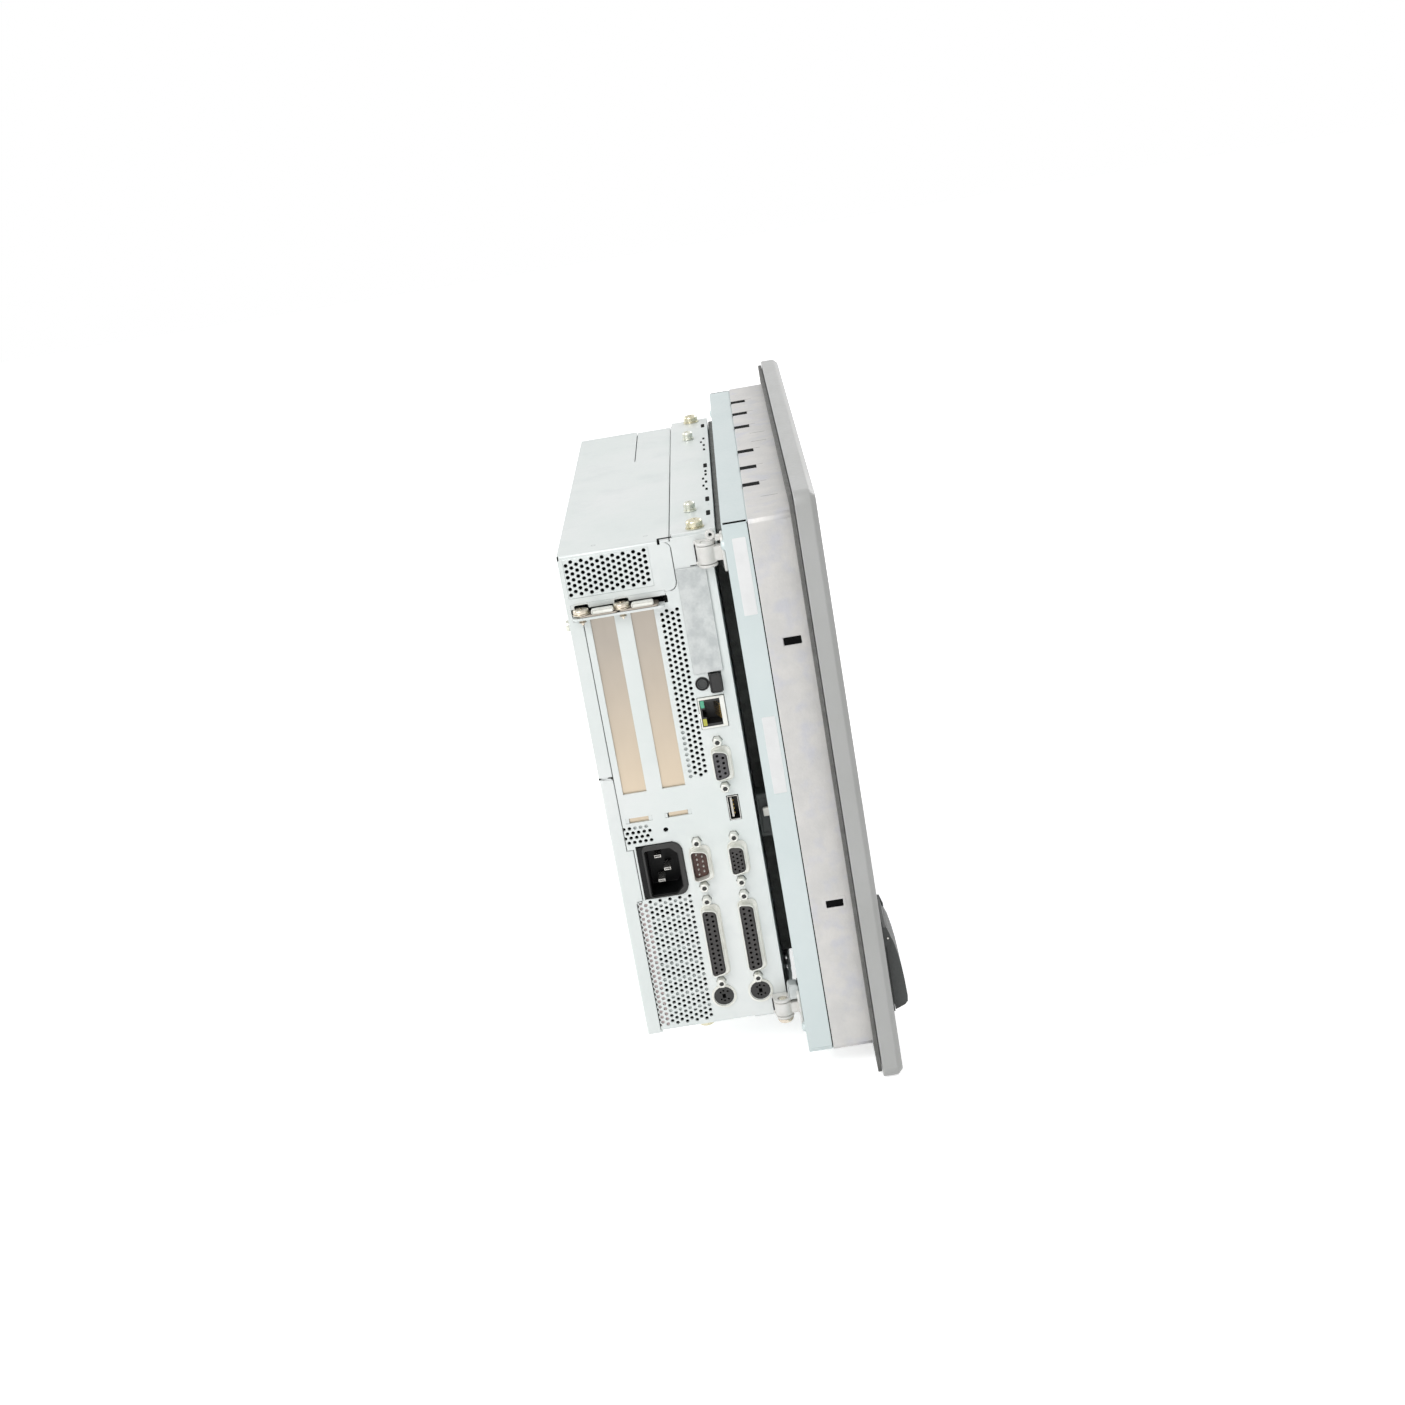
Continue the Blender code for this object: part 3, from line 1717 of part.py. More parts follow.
def ethernet_socket(parent):
    """Shielded jack with its keyed mouth."""
    y = computer_front + ethernet_y
    z = computer_bottom + ethernet_height
    front = computer_left - ethernet_rise
    rear = computer_left + port_body_depth + ethernet_wall
    half_width = ethernet_width / 2
    half_length = ethernet_length / 2
    body = block((front, y - half_width, z - half_length), (rear, y + half_width, z + half_length))
    mouth_y = y - ethernet_offset
    low_y = mouth_y - ethernet_mouth_width / 2
    high_y = mouth_y + ethernet_mouth_width / 2
    half_mouth = ethernet_mouth_length / 2
    half_latch = ethernet_latch_length / 2
    keyed = [
        (low_y, z - half_mouth),
        (high_y, z - half_mouth),
        (high_y, z - half_latch),
        (high_y + ethernet_latch_width, z - half_latch),
        (high_y + ethernet_latch_width, z + half_latch),
        (high_y, z + half_latch),
        (high_y, z + half_mouth),
        (low_y, z + half_mouth),
    ]
    mouth = plate("X", front - cut_overrun, front + ethernet_mouth_depth, keyed)
    return name_piece(cut(body, mouth), "ethernet_socket", "connector shell", parent)


def round_socket(name, depth, parent):
    """Six-pin round socket with its key hole."""
    y = computer_front + depth
    z = computer_bottom + keyboard_height
    front = computer_left - ethernet_rise
    rear = computer_left + port_body_depth
    ring_wall = 0.0011
    face_drop = 0.0012
    body = rod("X", front, rear, y, z, din_radius, 20)
    dish = rod("X", front - cut_overrun, front + face_drop, y, z, din_radius - ring_wall, 20)
    body = cut(body, dish)
    pin_ring = 0.0026
    pin_hole = 0.0005
    hole_depth = 0.003
    cutters = []
    for angle in (40, 80, 140, 220, 280, 320):
        turn = math.radians(angle)
        cutters.append(
            rod(
                "X",
                front,
                front + hole_depth,
                y + pin_ring * math.cos(turn),
                z + pin_ring * math.sin(turn),
                pin_hole,
                4,
            )
        )
    key_half = 0.0007
    cutters.append(
        block((front, y - key_half, z - key_half), (front + hole_depth, y + key_half, z + key_half))
    )
    return name_piece(cut(body, *cutters), name, "dark plastic", parent)


inlet_rise = 0.0012
inlet_depth = 0.0230
inlet_mouth_width = 0.0165
inlet_mouth_length = 0.0245
inlet_mouth_depth = 0.0170
inlet_mouth_corner = 0.0035
inlet_pin_reach = 0.0120
inlet_pin_width = 0.0040
inlet_pin_thickness = 0.0020
inlet_pin_spread = 0.0070
inlet_earth_offset = 0.0040


def power_inlet(parent):
    """Mains inlet: a rimmed body, a keyed recess and three blades, set back from its mouth."""
    y = computer_front + inlet_y
    z = computer_bottom + inlet_height
    front = computer_left - inlet_rise
    body = plate("X", front, front + inlet_depth, inlet_outline())
    half_y = inlet_mouth_width / 2
    half_z = inlet_mouth_length / 2
    c = inlet_mouth_corner
    recess = [
        (y - half_y, z - half_z + c),
        (y - half_y + c, z - half_z),
        (y + half_y, z - half_z),
        (y + half_y, z + half_z),
        (y - half_y + c, z + half_z),
        (y - half_y, z + half_z - c),
    ]
    body = cut(body, plate("X", front - cut_overrun, front + inlet_mouth_depth, recess))
    pin_front = front + inlet_mouth_depth - inlet_pin_reach
    pin_rear = front + inlet_mouth_depth + cut_overrun
    for shift_y, shift_z in ((0, -inlet_pin_spread), (-inlet_earth_offset, 0), (0, inlet_pin_spread)):
        blade = block(
            (pin_front, y + shift_y - inlet_pin_width / 2, z + shift_z - inlet_pin_thickness / 2),
            (pin_rear, y + shift_y + inlet_pin_width / 2, z + shift_z + inlet_pin_thickness / 2),
        )
        body = fuse(body, blade)
    return name_piece(body, "power_inlet", "dark plastic", parent)


card_cover_width = 0.0150
card_cover_length = 0.0548
card_cover_thickness = 0.0008
card_cover_front = 0.0040


def card_slot_cover(parent):
    """Plain plate over the card slot, between the ports and the top."""
    low = computer_bottom + eject_height + eject_length / 2 + 2 * running_gap
    front = computer_front + card_cover_front
    outline = rectangle(front, low, front + card_cover_width, low + card_cover_length)
    outer = computer_left - seat_gap - card_cover_thickness
    body = plate("X", outer, outer + card_cover_thickness, outline)
    return name_piece(body, "card_slot_cover", "bare sheet", parent)


card_cage_depth = 0.0560


def card_cage(parent):
    """Guide of the card slot, behind the panel; the eject button slides beside it."""
    low = computer_bottom + eject_height + eject_length / 2 + running_gap
    inner = computer_left + sheet + seat_gap
    front = board_rear() + seat_gap
    body = block(
        (inner, front, low),
        (inner + card_cage_depth, front + card_cage_thickness, low + card_cage_length),
    )
    groove_depth = 0.045
    middle, groove_low, groove_high = card_slot()
    groove = block(
        (inner - cut_overrun, middle - card_slot_half, groove_low),
        (inner + groove_depth, middle + card_slot_half, groove_high),
    )
    return name_piece(cut(body, groove), "card_cage", "bare sheet", parent)


eject_rise = 0.0030
eject_inside = 0.0030
reset_rise = 0.0008
reset_inside = 0.0030
button_collar = 0.0007
button_collar_depth = 0.0010


def card_eject_button(parent):
    """Push button with a bevelled face; it slides straight in."""
    origin_y = computer_front + eject_y
    z = computer_bottom + eject_height
    half_y = eject_width / 2
    half_z = eject_length / 2
    bevel = 0.0006
    full = rectangle(origin_y - half_y, z - half_z, origin_y + half_y, z + half_z)
    face = rectangle(
        origin_y - half_y + bevel, z - half_z + bevel, origin_y + half_y - bevel, z + half_z - bevel
    )
    tip = computer_left - eject_rise
    body = loft(
        "X",
        [(tip, face), (tip + bevel, full), (computer_left + sheet + eject_inside, full)],
    )
    collar_near = computer_left + sheet + seat_gap
    collar = block(
        (collar_near, origin_y - half_y + bevel, z - half_z - button_collar),
        (collar_near + button_collar_depth, origin_y + half_y - bevel, z),
    )
    body = fuse(body, collar)
    return name_piece(body, "card_eject_button", "dark plastic", parent)


def reset_button(parent):
    y = computer_front + reset_y
    z = computer_bottom + eject_height
    tip = computer_left - reset_rise
    dish_depth = 0.0005
    dish_share = 0.7
    collar_near = computer_left + sheet + seat_gap
    rings = [
        (tip + dish_depth, reset_radius * dish_share - dish_depth),
        (tip, reset_radius * dish_share),
        (tip, reset_radius - dish_depth / 2),
        (tip + dish_depth, reset_radius),
        (collar_near, reset_radius),
        (collar_near, reset_radius + button_collar),
        (collar_near + button_collar_depth, reset_radius + button_collar),
        (collar_near + button_collar_depth, reset_radius * dish_share),
        (computer_left + sheet + reset_inside, reset_radius * dish_share),
    ]
    body = loft("X", [(along, circle(y, z, size, 16)) for along, size in rings])
    return name_piece(smooth(body), "reset_button", "dark plastic", parent)


# Inside the computer unit

board_standoff = 0.0024
board_thickness = 0.0016
board_left_inset = 0.0090
board_width = 0.2300
board_edge = 0.0060


def board_front():
    return computer_front + sheet + board_standoff + 2 * seat_gap


def board_rear():
    return board_front() + board_thickness


def motherboard(parent):
    """Main board on four round stand-offs, with its chips on the rear."""
    left = computer_left + board_left_inset
    low = computer_bottom + sheet + board_edge
    high = computer_top - sheet - board_edge
    right = left + board_width
    body = block((left, board_front(), low), (right, board_rear(), high))
    foot_radius = 0.003
    foot_sides = 8
    post_shares = (0.04, 0.96)
    for x_share in post_shares:
        for z_share in post_shares:
            foot = rod(
                "Y",
                computer_front + sheet + seat_gap,
                board_front() + board_thickness / 2,
                left + board_width * x_share,
                low + (high - low) * z_share,
                foot_radius,
                foot_sides,
            )
            body = fuse(body, foot)
    chip_height = 0.0024
    chips = ((0.45, 0.62, 0.035), (0.62, 0.80, 0.028), (0.30, 0.18, 0.020))
    for x_share, z_share, size in chips:
        x = left + board_width * x_share
        z = low + (high - low) * z_share
        chip = block(
            (x - size / 2, board_rear() - board_thickness / 2, z - size / 2),
            (x + size / 2, board_rear() + chip_height, z + size / 2),
        )
        body = fuse(body, chip)
    return name_piece(body, "motherboard", "circuit board", parent)


riser_thickness = 0.0016
riser_height = 0.1100
riser_left_inset = 0.0280
riser_width = 0.1000
riser_socket_height = 0.0100
riser_socket_width = 0.0088
riser_socket_length = 0.0850
riser_rear_gap = 0.0060


def riser_card(parent):
    """Riser that stands off the main board, with one card socket for each slot."""
    left = computer_left + riser_left_inset
    low = computer_bottom + riser_height
    front = board_rear() + seat_gap
    rear = computer_rear - sheet - riser_rear_gap
    body = block((left, front, low), (left + riser_width, rear, low + riser_thickness))
    groove = 0.0016
    for number in range(slot_count):
        middle = slot_y(number)
        base = low + riser_thickness / 2
        top = low + riser_thickness + riser_socket_height
        socket = block(
            (left + groove * 2, middle - riser_socket_width / 2, base),
            (left + groove * 2 + riser_socket_length, middle + riser_socket_width / 2, top),
        )
        slot = block(
            (left + groove * 3, middle - groove / 2, top - riser_socket_height / 2),
            (left + groove + riser_socket_length, middle + groove / 2, top + cut_overrun),
        )
        body = fuse(body, cut(socket, slot))
    return name_piece(body, "riser_card", "circuit board", parent)


supply_left_inset = 0.0150
supply_width = 0.0950
supply_height = 0.0700
supply_front_inset = 0.0380
supply_rear_gap = 0.0003


def power_supply(parent):
    """Boxed supply behind the lower vents, standing on the chassis bottom."""
    left = computer_left + supply_left_inset
    low = computer_bottom + sheet + seat_gap
    front = computer_front + supply_front_inset
    rear = computer_rear - sheet - supply_rear_gap
    body = block((left, front, low), (left + supply_width, rear, low + supply_height))
    slot_count_in_side = 6
    slot_depth = 0.002
    edge = 0.006
    pitch = (supply_height - 2 * edge) / slot_count_in_side
    cutters = []
    for i in range(slot_count_in_side):
        base = low + edge + pitch * i
        cutters.append(
            block(
                (left - cut_overrun, front + edge, base),
                (left + slot_depth, rear - edge, base + pitch / 2),
            )
        )
    body = cut(body, *cutters)
    return name_piece(body, "power_supply", "bare sheet", parent)


disk_width = 0.1016
disk_length = 0.1470
disk_height = 0.0254
tray_gap = 0.0010
tray_sheet = 0.0012
tray_top_inset = 0.0040
tray_clearance = 0.0035


def disk_box():
    right = computer_right - sheet - seat_gap - tray_sheet - tray_gap - tray_clearance
    high = computer_top - sheet - tray_top_inset - tray_sheet
    front = board_rear() + tray_clearance + tray_sheet + 3 * seat_gap
    low_corner = Vector((right - disk_width, front, high - disk_length))
    high_corner = Vector((right, front + disk_height, high))
    return low_corner, high_corner


def hard_disk(parent):
    low, high = disk_box()
    body = block(low, high)
    lid_border = 0.004
    lid_drop = 0.0012
    lid = block(
        (low.x + lid_border, high.y - lid_drop, low.z + lid_border),
        (high.x - lid_border, high.y + cut_overrun, high.z - lid_border),
    )
    disc_radius_share = 0.42
    middle_x = (low.x + high.x) / 2
    middle_z = low.z + (high.z - low.z) * (1 - disc_radius_share * disk_width / disk_length)
    body = cut(body, lid)
    boss = rod(
        "Y",
        high.y - 2 * lid_drop,
        high.y - lid_drop / 3,
        middle_x,
        middle_z - lid_border,
        disk_width * disc_radius_share,
        20,
    )
    return name_piece(fuse(body, boss), "hard_disk", "aluminium", parent)


def disk_tray(parent):
    """Sheet tray under the disk, fixed to the chassis' right wall by a folded side."""
    low, high = disk_box()
    top = low.y - seat_gap
    bottom = top - tray_sheet
    right = computer_right - sheet - seat_gap
    floor = block((low.x, bottom, low.z), (right, top, high.z))
    side_height_share = 0.8
    side = block(
        (right - tray_sheet, bottom, low.z), (right, top + disk_height * side_height_share, high.z)
    )
    body = fuse(floor, side)
    return name_piece(body, "disk_tray", "bare sheet", parent)


sink_left = 0.1200
sink_bottom = 0.0440
sink_size = 0.0600
sink_base = 0.0050
sink_fin = 0.0016
sink_fins = 9
sink_height = 0.0300


def cpu_heatsink(parent):
    """Extruded cooler: a comb profile run along Z."""
    left = computer_left + sink_left
    low = computer_bottom + sink_bottom
    base = board_rear() + seat_gap
    pitch = (sink_size - sink_fin) / (sink_fins - 1)
    outline = [(left, base), (left + sink_size, base)]
    for i in reversed(range(sink_fins)):
        near = left + i * pitch
        outline.append((near + sink_fin, base + sink_height))
        outline.append((near, base + sink_height))
        if i:
            outline.append((near, base + sink_base))
            outline.append((near - pitch + sink_fin, base + sink_base))
    body = plate("Z", low, low + sink_size, outline)
    return name_piece(body, "cpu_heatsink", "aluminium", parent)


fan_blades = 7
fan_blade_thickness = 0.0012
fan_blade_twist = math.radians(34)
fan_tip_gap = 0.0012
fan_spokes = 4
fan_spoke_width = 0.0030
fan_spoke_depth = 0.0020


def fan_left():
    return computer_right - sheet - seat_gap - fan_depth


def fan_frame(parent):
    """Square fan housing with a round duct and a hub plate on four spokes."""
    y, z = fan_centre()
    left = fan_left()
    half = fan_size / 2
    corner = 0.004
    outline = shifted(rounded_box(fan_size, fan_size, corner, 2), y, z)
    duct = circle(y, z, fan_bore, 28)
    hole_inset = 0.005
    hole_radius = 0.0022
    holes = [duct]
    for side in (-1, 1):
        for level in (-1, 1):
            holes.append(
                circle(
                    y + side * (half - hole_inset), z + level * (half - hole_inset), hole_radius, 8
                )
            )
    body = plate("X", left, left + fan_depth, outline, holes)
    hub = rod("X", left, left + fan_spoke_depth, y, z, fan_hub, 20)
    body = fuse(body, hub)
    for i in range(fan_spokes):
        turn = math.pi / 4 + math.pi / 2 * i
        along = Vector((math.cos(turn), math.sin(turn)))
        across = Vector((-along.y, along.x)) * (fan_spoke_width / 2)
        start = along * (fan_hub / 2)
        end = along * (fan_bore + fan_spoke_width / 2)
        centre = Vector((y, z))
        corners = [start - across, end - across, end + across, start + across]
        spoke = plate("X", left, left + fan_spoke_depth, [tuple(centre + c) for c in corners])
        body = fuse(body, spoke)
    return name_piece(body, "fan_frame", "dark plastic", parent)


def fan_rotor(parent):
    """Hub with twisted blades, turning about the fan's axis."""
    y, z = fan_centre()
    near = fan_left() + fan_spoke_depth + seat_gap
    far = fan_left() + fan_depth - fan_tip_gap
    body = rod("X", near, far, y, z, fan_hub, 20)
    tip = fan_bore - fan_tip_gap
    root_share = 0.9
    chord_share = 0.62
    root = fan_hub * root_share
    for i in range(fan_blades):
        turn = 2 * math.pi * i / fan_blades
        depth = far - near - 2 * fan_tip_gap
        sweep = math.atan2(depth * math.tan(fan_blade_twist), tip) * chord_share
        rings = []
        steps = 3
        for step in range(steps + 1):
            share = step / steps
            angle = turn + sweep * (share - 1 / 2)
            along = near + fan_tip_gap + depth * share
            out = Vector((math.cos(angle), math.sin(angle)))
            across = Vector((-out.y, out.x)) * (fan_blade_thickness / 2)
            centre = Vector((y, z))
            section = [
                centre + out * root - across,
                centre + out * tip - across,
                centre + out * tip + across,
                centre + out * root + across,
            ]
            rings.append((along, [tuple(point) for point in section]))
        body = fuse(body, loft("X", rings))
    return name_piece(smooth(body), "fan_rotor", "dark plastic", parent)


def captive_screw(name, level, parent):
    """Knurled screw that holds the computer unit shut against the operator unit."""
    x, z = captive_place(level)
    grip_near = computer_front + sheet + seat_gap
    grip_far = grip_near + captive_grip
    tip = frame_rear + seat_gap
    bevel = 0.0008
    shank = rod("Y", tip, grip_near + bevel, x, z, captive_shank, 12)
    grip = loft(
        "Y",
        [
            (grip_near, circle(x, z, captive_radius, 16)),
            (grip_far - bevel, circle(x, z, captive_radius, 16)),
            (grip_far, circle(x, z, captive_radius - bevel, 16)),
        ],
    )
    return name_piece(smooth(fuse(grip, shank)), name, "yellow zinc", parent)


def build_operator_unit(body):
    front_bezel(body)
    front_film(body)
    panel_gasket(body)
    touch_screen(body)
    display_panel(body)
    display_carrier(body)
    backlight_inverter(body)
    cast_housing(body)
    rear_frame(body)
    port_frame(body)
    port_cover_pin(body)
    front_usb_socket(body)
    hinge_bracket("upper_hinge_bracket", upper_hinge_height, upper_barrel, body)
    hinge_bracket("lower_hinge_bracket", lower_hinge_height, lower_barrel, body)


def build_computer_unit(body):
    chassis(body)
    port_panel(body)
    top_cover(body)
    drive_bay_cover(body)
    rear_cover(body)
    rail("top_rail", 1, body)
    rail("bottom_rail", -1, body)
    unit_screws(body)
    hinge_leaf("upper_hinge_leaf", upper_hinge_height, upper_barrel, body)
    hinge_leaf("lower_hinge_leaf", lower_hinge_height, lower_barrel, body)
    hinge_pin("upper_hinge_pin", upper_hinge_height, upper_barrel, False, body)
    hinge_pin("lower_hinge_pin", lower_hinge_height, lower_barrel, True, body)
    for number in range(slot_count):
        slot_cover(number, body)
        slot_screw(number, body)
    for name in ports:
        dsub_port(name, body)
    usb_socket(body)
    ethernet_socket(body)
    round_socket("mouse_socket", row_rear, body)
    round_socket("keyboard_socket", row_front, body)
    power_inlet(body)
    card_slot_cover(body)
    card_cage(body)
    captive_screw("captive_screw_upper", 1, body)
    captive_screw("captive_screw_lower", -1, body)
    motherboard(body)
    riser_card(body)
    power_supply(body)
    hard_disk(body)
    disk_tray(body)
    cpu_heatsink(body)
    fan_frame(body)


def build():
    clear_scene()
    operator = joint_empty("operator_unit", (0, 0, 0))
    build_operator_unit(operator)
    cover = joint_empty("port_cover_axis", (port_x, cover_hinge_y, cover_hinge_z), operator)
    front_port_cover(cover)
    unit = joint_empty("computer_unit_axis", (hinge_x, hinge_y, 0), operator)
    build_computer_unit(unit)
    button_z = computer_bottom + eject_height
    eject = joint_empty("card_eject_axis", (computer_left, computer_front + eject_y, button_z), unit)
    card_eject_button(eject)
    reset = joint_empty("reset_axis", (computer_left, computer_front + reset_y, button_z), unit)
    reset_button(reset)
    fan_y, fan_z = fan_centre()
    fan = joint_empty("fan_axis", (fan_left(), fan_y, fan_z), unit)
    fan_rotor(fan)


build()
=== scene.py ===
import math

import bpy
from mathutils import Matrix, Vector


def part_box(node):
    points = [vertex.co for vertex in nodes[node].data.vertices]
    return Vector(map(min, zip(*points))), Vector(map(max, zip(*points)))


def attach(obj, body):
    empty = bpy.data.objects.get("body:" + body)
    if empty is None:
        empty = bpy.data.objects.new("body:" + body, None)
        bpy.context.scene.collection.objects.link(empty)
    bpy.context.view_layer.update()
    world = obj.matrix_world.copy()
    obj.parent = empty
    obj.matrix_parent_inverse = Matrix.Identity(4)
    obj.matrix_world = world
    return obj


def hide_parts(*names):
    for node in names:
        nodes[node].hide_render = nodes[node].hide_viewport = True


# Industrial panel computer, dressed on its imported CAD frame.
# Metres, X to the operator's right, Y to the rear, Z up.
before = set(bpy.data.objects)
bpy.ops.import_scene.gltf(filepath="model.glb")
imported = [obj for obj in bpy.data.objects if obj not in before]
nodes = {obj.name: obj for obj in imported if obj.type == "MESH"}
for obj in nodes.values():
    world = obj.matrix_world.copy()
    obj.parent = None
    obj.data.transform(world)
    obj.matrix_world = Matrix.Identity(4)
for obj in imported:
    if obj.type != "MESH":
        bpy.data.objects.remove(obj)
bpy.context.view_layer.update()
operator, computer = "operator_unit", "computer_unit"  # the two large bodies


# Working with objects and meshes


def activate(piece):
    bpy.ops.object.select_all(action="DESELECT")
    piece.select_set(True)
    bpy.context.view_layer.objects.active = piece


def settle(piece):
    # finished objects stand at the origin, with their place in the mesh
    activate(piece)
    bpy.ops.object.transform_apply(location=True, rotation=True, scale=True)
    return piece


def discard(piece):
    bpy.data.objects.remove(piece, do_unlink=True)


def addBlock(low, high):
    low, high = Vector(low), Vector(high)
    bpy.ops.mesh.primitive_cube_add(size=1, location=(low + high) / 2)
    piece = bpy.context.object
    piece.scale = high - low
    return settle(piece)


def addRod(axis, near, far, u, v, radius, sides=32):
    # u and v are the other two coordinates, in order
    turn = {"X": (0, math.pi / 2, 0), "Y": (math.pi / 2, 0, 0), "Z": (0, 0, 0)}[axis]
    middle = (near + far) / 2
    place = {"X": (middle, u, v), "Y": (u, middle, v), "Z": (u, v, middle)}[axis]
    bpy.ops.mesh.primitive_cylinder_add(
        vertices=sides, radius=radius, depth=abs(far - near), location=place, rotation=turn
    )
    return settle(bpy.context.object)


def openMesh(piece, faces=None, edges=None):
    # edit mode with the faces or edges that a test accepts selected
    activate(piece)
    mesh = piece.data
    for parts in (mesh.vertices, mesh.edges, mesh.polygons):
        parts.foreach_set("select", [False] * len(parts))
    bpy.context.tool_settings.mesh_select_mode = (False, edges is not None, edges is None)
    if faces:
        for face in mesh.polygons:
            face.select = faces(face)
    if edges:
        for edge in mesh.edges:
            a, b = (mesh.vertices[i].co for i in edge.vertices)
            edge.select = edges(a, b)
    bpy.ops.object.mode_set(mode="EDIT")


def closeMesh():
    bpy.ops.object.mode_set(mode="OBJECT")


def push(x=0, y=0, z=0):
    bpy.ops.mesh.extrude_region_move(TRANSFORM_OT_translate={"value": (x, y, z)})


def squeeze(middle, x=1, y=1, z=1):
    bpy.ops.transform.resize(value=(x, y, z), center_override=middle)


def facing(x=0, y=0, z=0):
    direction = Vector((x, y, z))
    return lambda face: face.normal.dot(direction) > 0.99


def along(axis, **place):
    # edges that run along an axis, at a given x, y or z where one is given
    number = "XYZ".index(axis)
    slack = 0.00005

    def test(a, b):
        if abs((b - a).normalized()[number]) < 0.99:
            return False
        return all(abs(a["xyz".index(key)] - value) < slack for key, value in place.items())

    return test


def sink(piece, wall, x=0, z=0, faces=facing(x=-1)):
    # the faces keep a rim as wide as the wall, and go in or out inside it
    openMesh(piece, faces=faces)
    bpy.ops.mesh.inset(thickness=wall)
    push(x=x, z=z)
    closeMesh()
    return piece


def roundEdges(piece, test, radius, steps=3):
    openMesh(piece, edges=test)
    bpy.ops.mesh.bevel(offset=radius, segments=steps, affect="EDGES", clamp_overlap=False)
    closeMesh()
    return piece


def soften(piece, width, steps=2, angle=35):
    activate(piece)
    change = piece.modifiers.new("soften", "BEVEL")
    change.width = width
    change.segments = steps
    change.limit_method = "ANGLE"
    change.angle_limit = math.radians(angle)
    change.use_clamp_overlap = False
    bpy.ops.object.modifier_apply(modifier=change.name)
    bpy.ops.object.shade_smooth_by_angle(angle=math.radians(angle))
    for face in piece.data.polygons:
        if max(abs(value) for value in face.normal) > 0.9999:
            face.use_smooth = False  # broad faces stay flat right up to their bevels
    return piece


def combine(piece, other, operation="DIFFERENCE"):
    # pieces are bevelled before they are cut: a face with a hole in it doesn't take a bevel well
    activate(piece)
    change = piece.modifiers.new("combine", "BOOLEAN")
    change.operation = operation
    change.solver = "EXACT"
    change.object = other
    bpy.ops.object.modifier_apply(modifier=change.name)
    discard(other)
    return piece


def join(pieces):
    activate(pieces[0])
    for piece in pieces:
        piece.select_set(True)
    if len(pieces) > 1:
        bpy.ops.object.join()
    return bpy.context.object


def shifted(piece, x=0, y=0, z=0):
    piece.location = (x, y, z)
    return settle(piece)


def duplicate(piece, x=0, y=0, z=0):
    activate(piece)
    bpy.ops.object.duplicate()
    return shifted(bpy.context.object, x, y, z)


def copyNode(node):
    # a copy of a CAD node, merged and with its flat faces whole again
    source = nodes[node]
    piece = source.copy()
    piece.data = source.data.copy()
    piece.parent = None
    for key in list(piece.keys()):
        del piece[key]
    bpy.context.scene.collection.objects.link(piece)
    openMesh(piece)
    bpy.ops.mesh.select_all(action="SELECT")
    bpy.ops.mesh.remove_doubles(threshold=0.000002)
    bpy.ops.mesh.customdata_custom_splitnormals_clear()
    bpy.ops.mesh.dissolve_limited(angle_limit=math.radians(1))
    closeMesh()
    return piece


def finish(piece, name, body, look, replaced=()):
    piece.name = name
    piece.data.name = name
    piece.data.materials.clear()
    piece.data.materials.append(materials[look])
    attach(piece, body)
    if replaced:
        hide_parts(*replaced)
    return piece


def roundBlocks(boxes, axis="X", radius=0.0002, steps=1):
    return [roundEdges(addBlock(low, high), along(axis), radius, steps) for low, high in boxes]


def addBlocks(name, body, look, boxes, *rounding):
    # small blocks that make one piece
    return finish(join(roundBlocks(boxes, *rounding)), name, body, look)


# Materials


def linear(text):
    channels = [int(text[i : i + 2], 16) / 255 for i in (0, 2, 4)]
    bent = [c / 12.92 if c <= 0.04045 else ((c + 0.055) / 1.055) ** 2.4 for c in channels]
    return (*bent, 1)


def addNode(owner, kind, sockets=None, **settings):
    made = owner.node_tree.nodes.new(kind)
    for key, value in settings.items():
        setattr(made, key, value)
    for key, value in (sockets or {}).items():
        if isinstance(value, bpy.types.NodeSocket):
            owner.node_tree.links.new(value, made.inputs[key])
        else:
            made.inputs[key].default_value = value
    return made


def paintOver(material, share, colour):
    # a further colour over the base, by a share that a node gives
    socket = material.node_tree.nodes["Principled BSDF"].inputs["Base Color"]
    colours = {0: share, 6: socket.links[0].from_socket, 7: linear(colour)}
    mixed = addNode(material, "ShaderNodeMix", colours, data_type="RGBA").outputs[2]
    material.node_tree.links.new(mixed, socket)


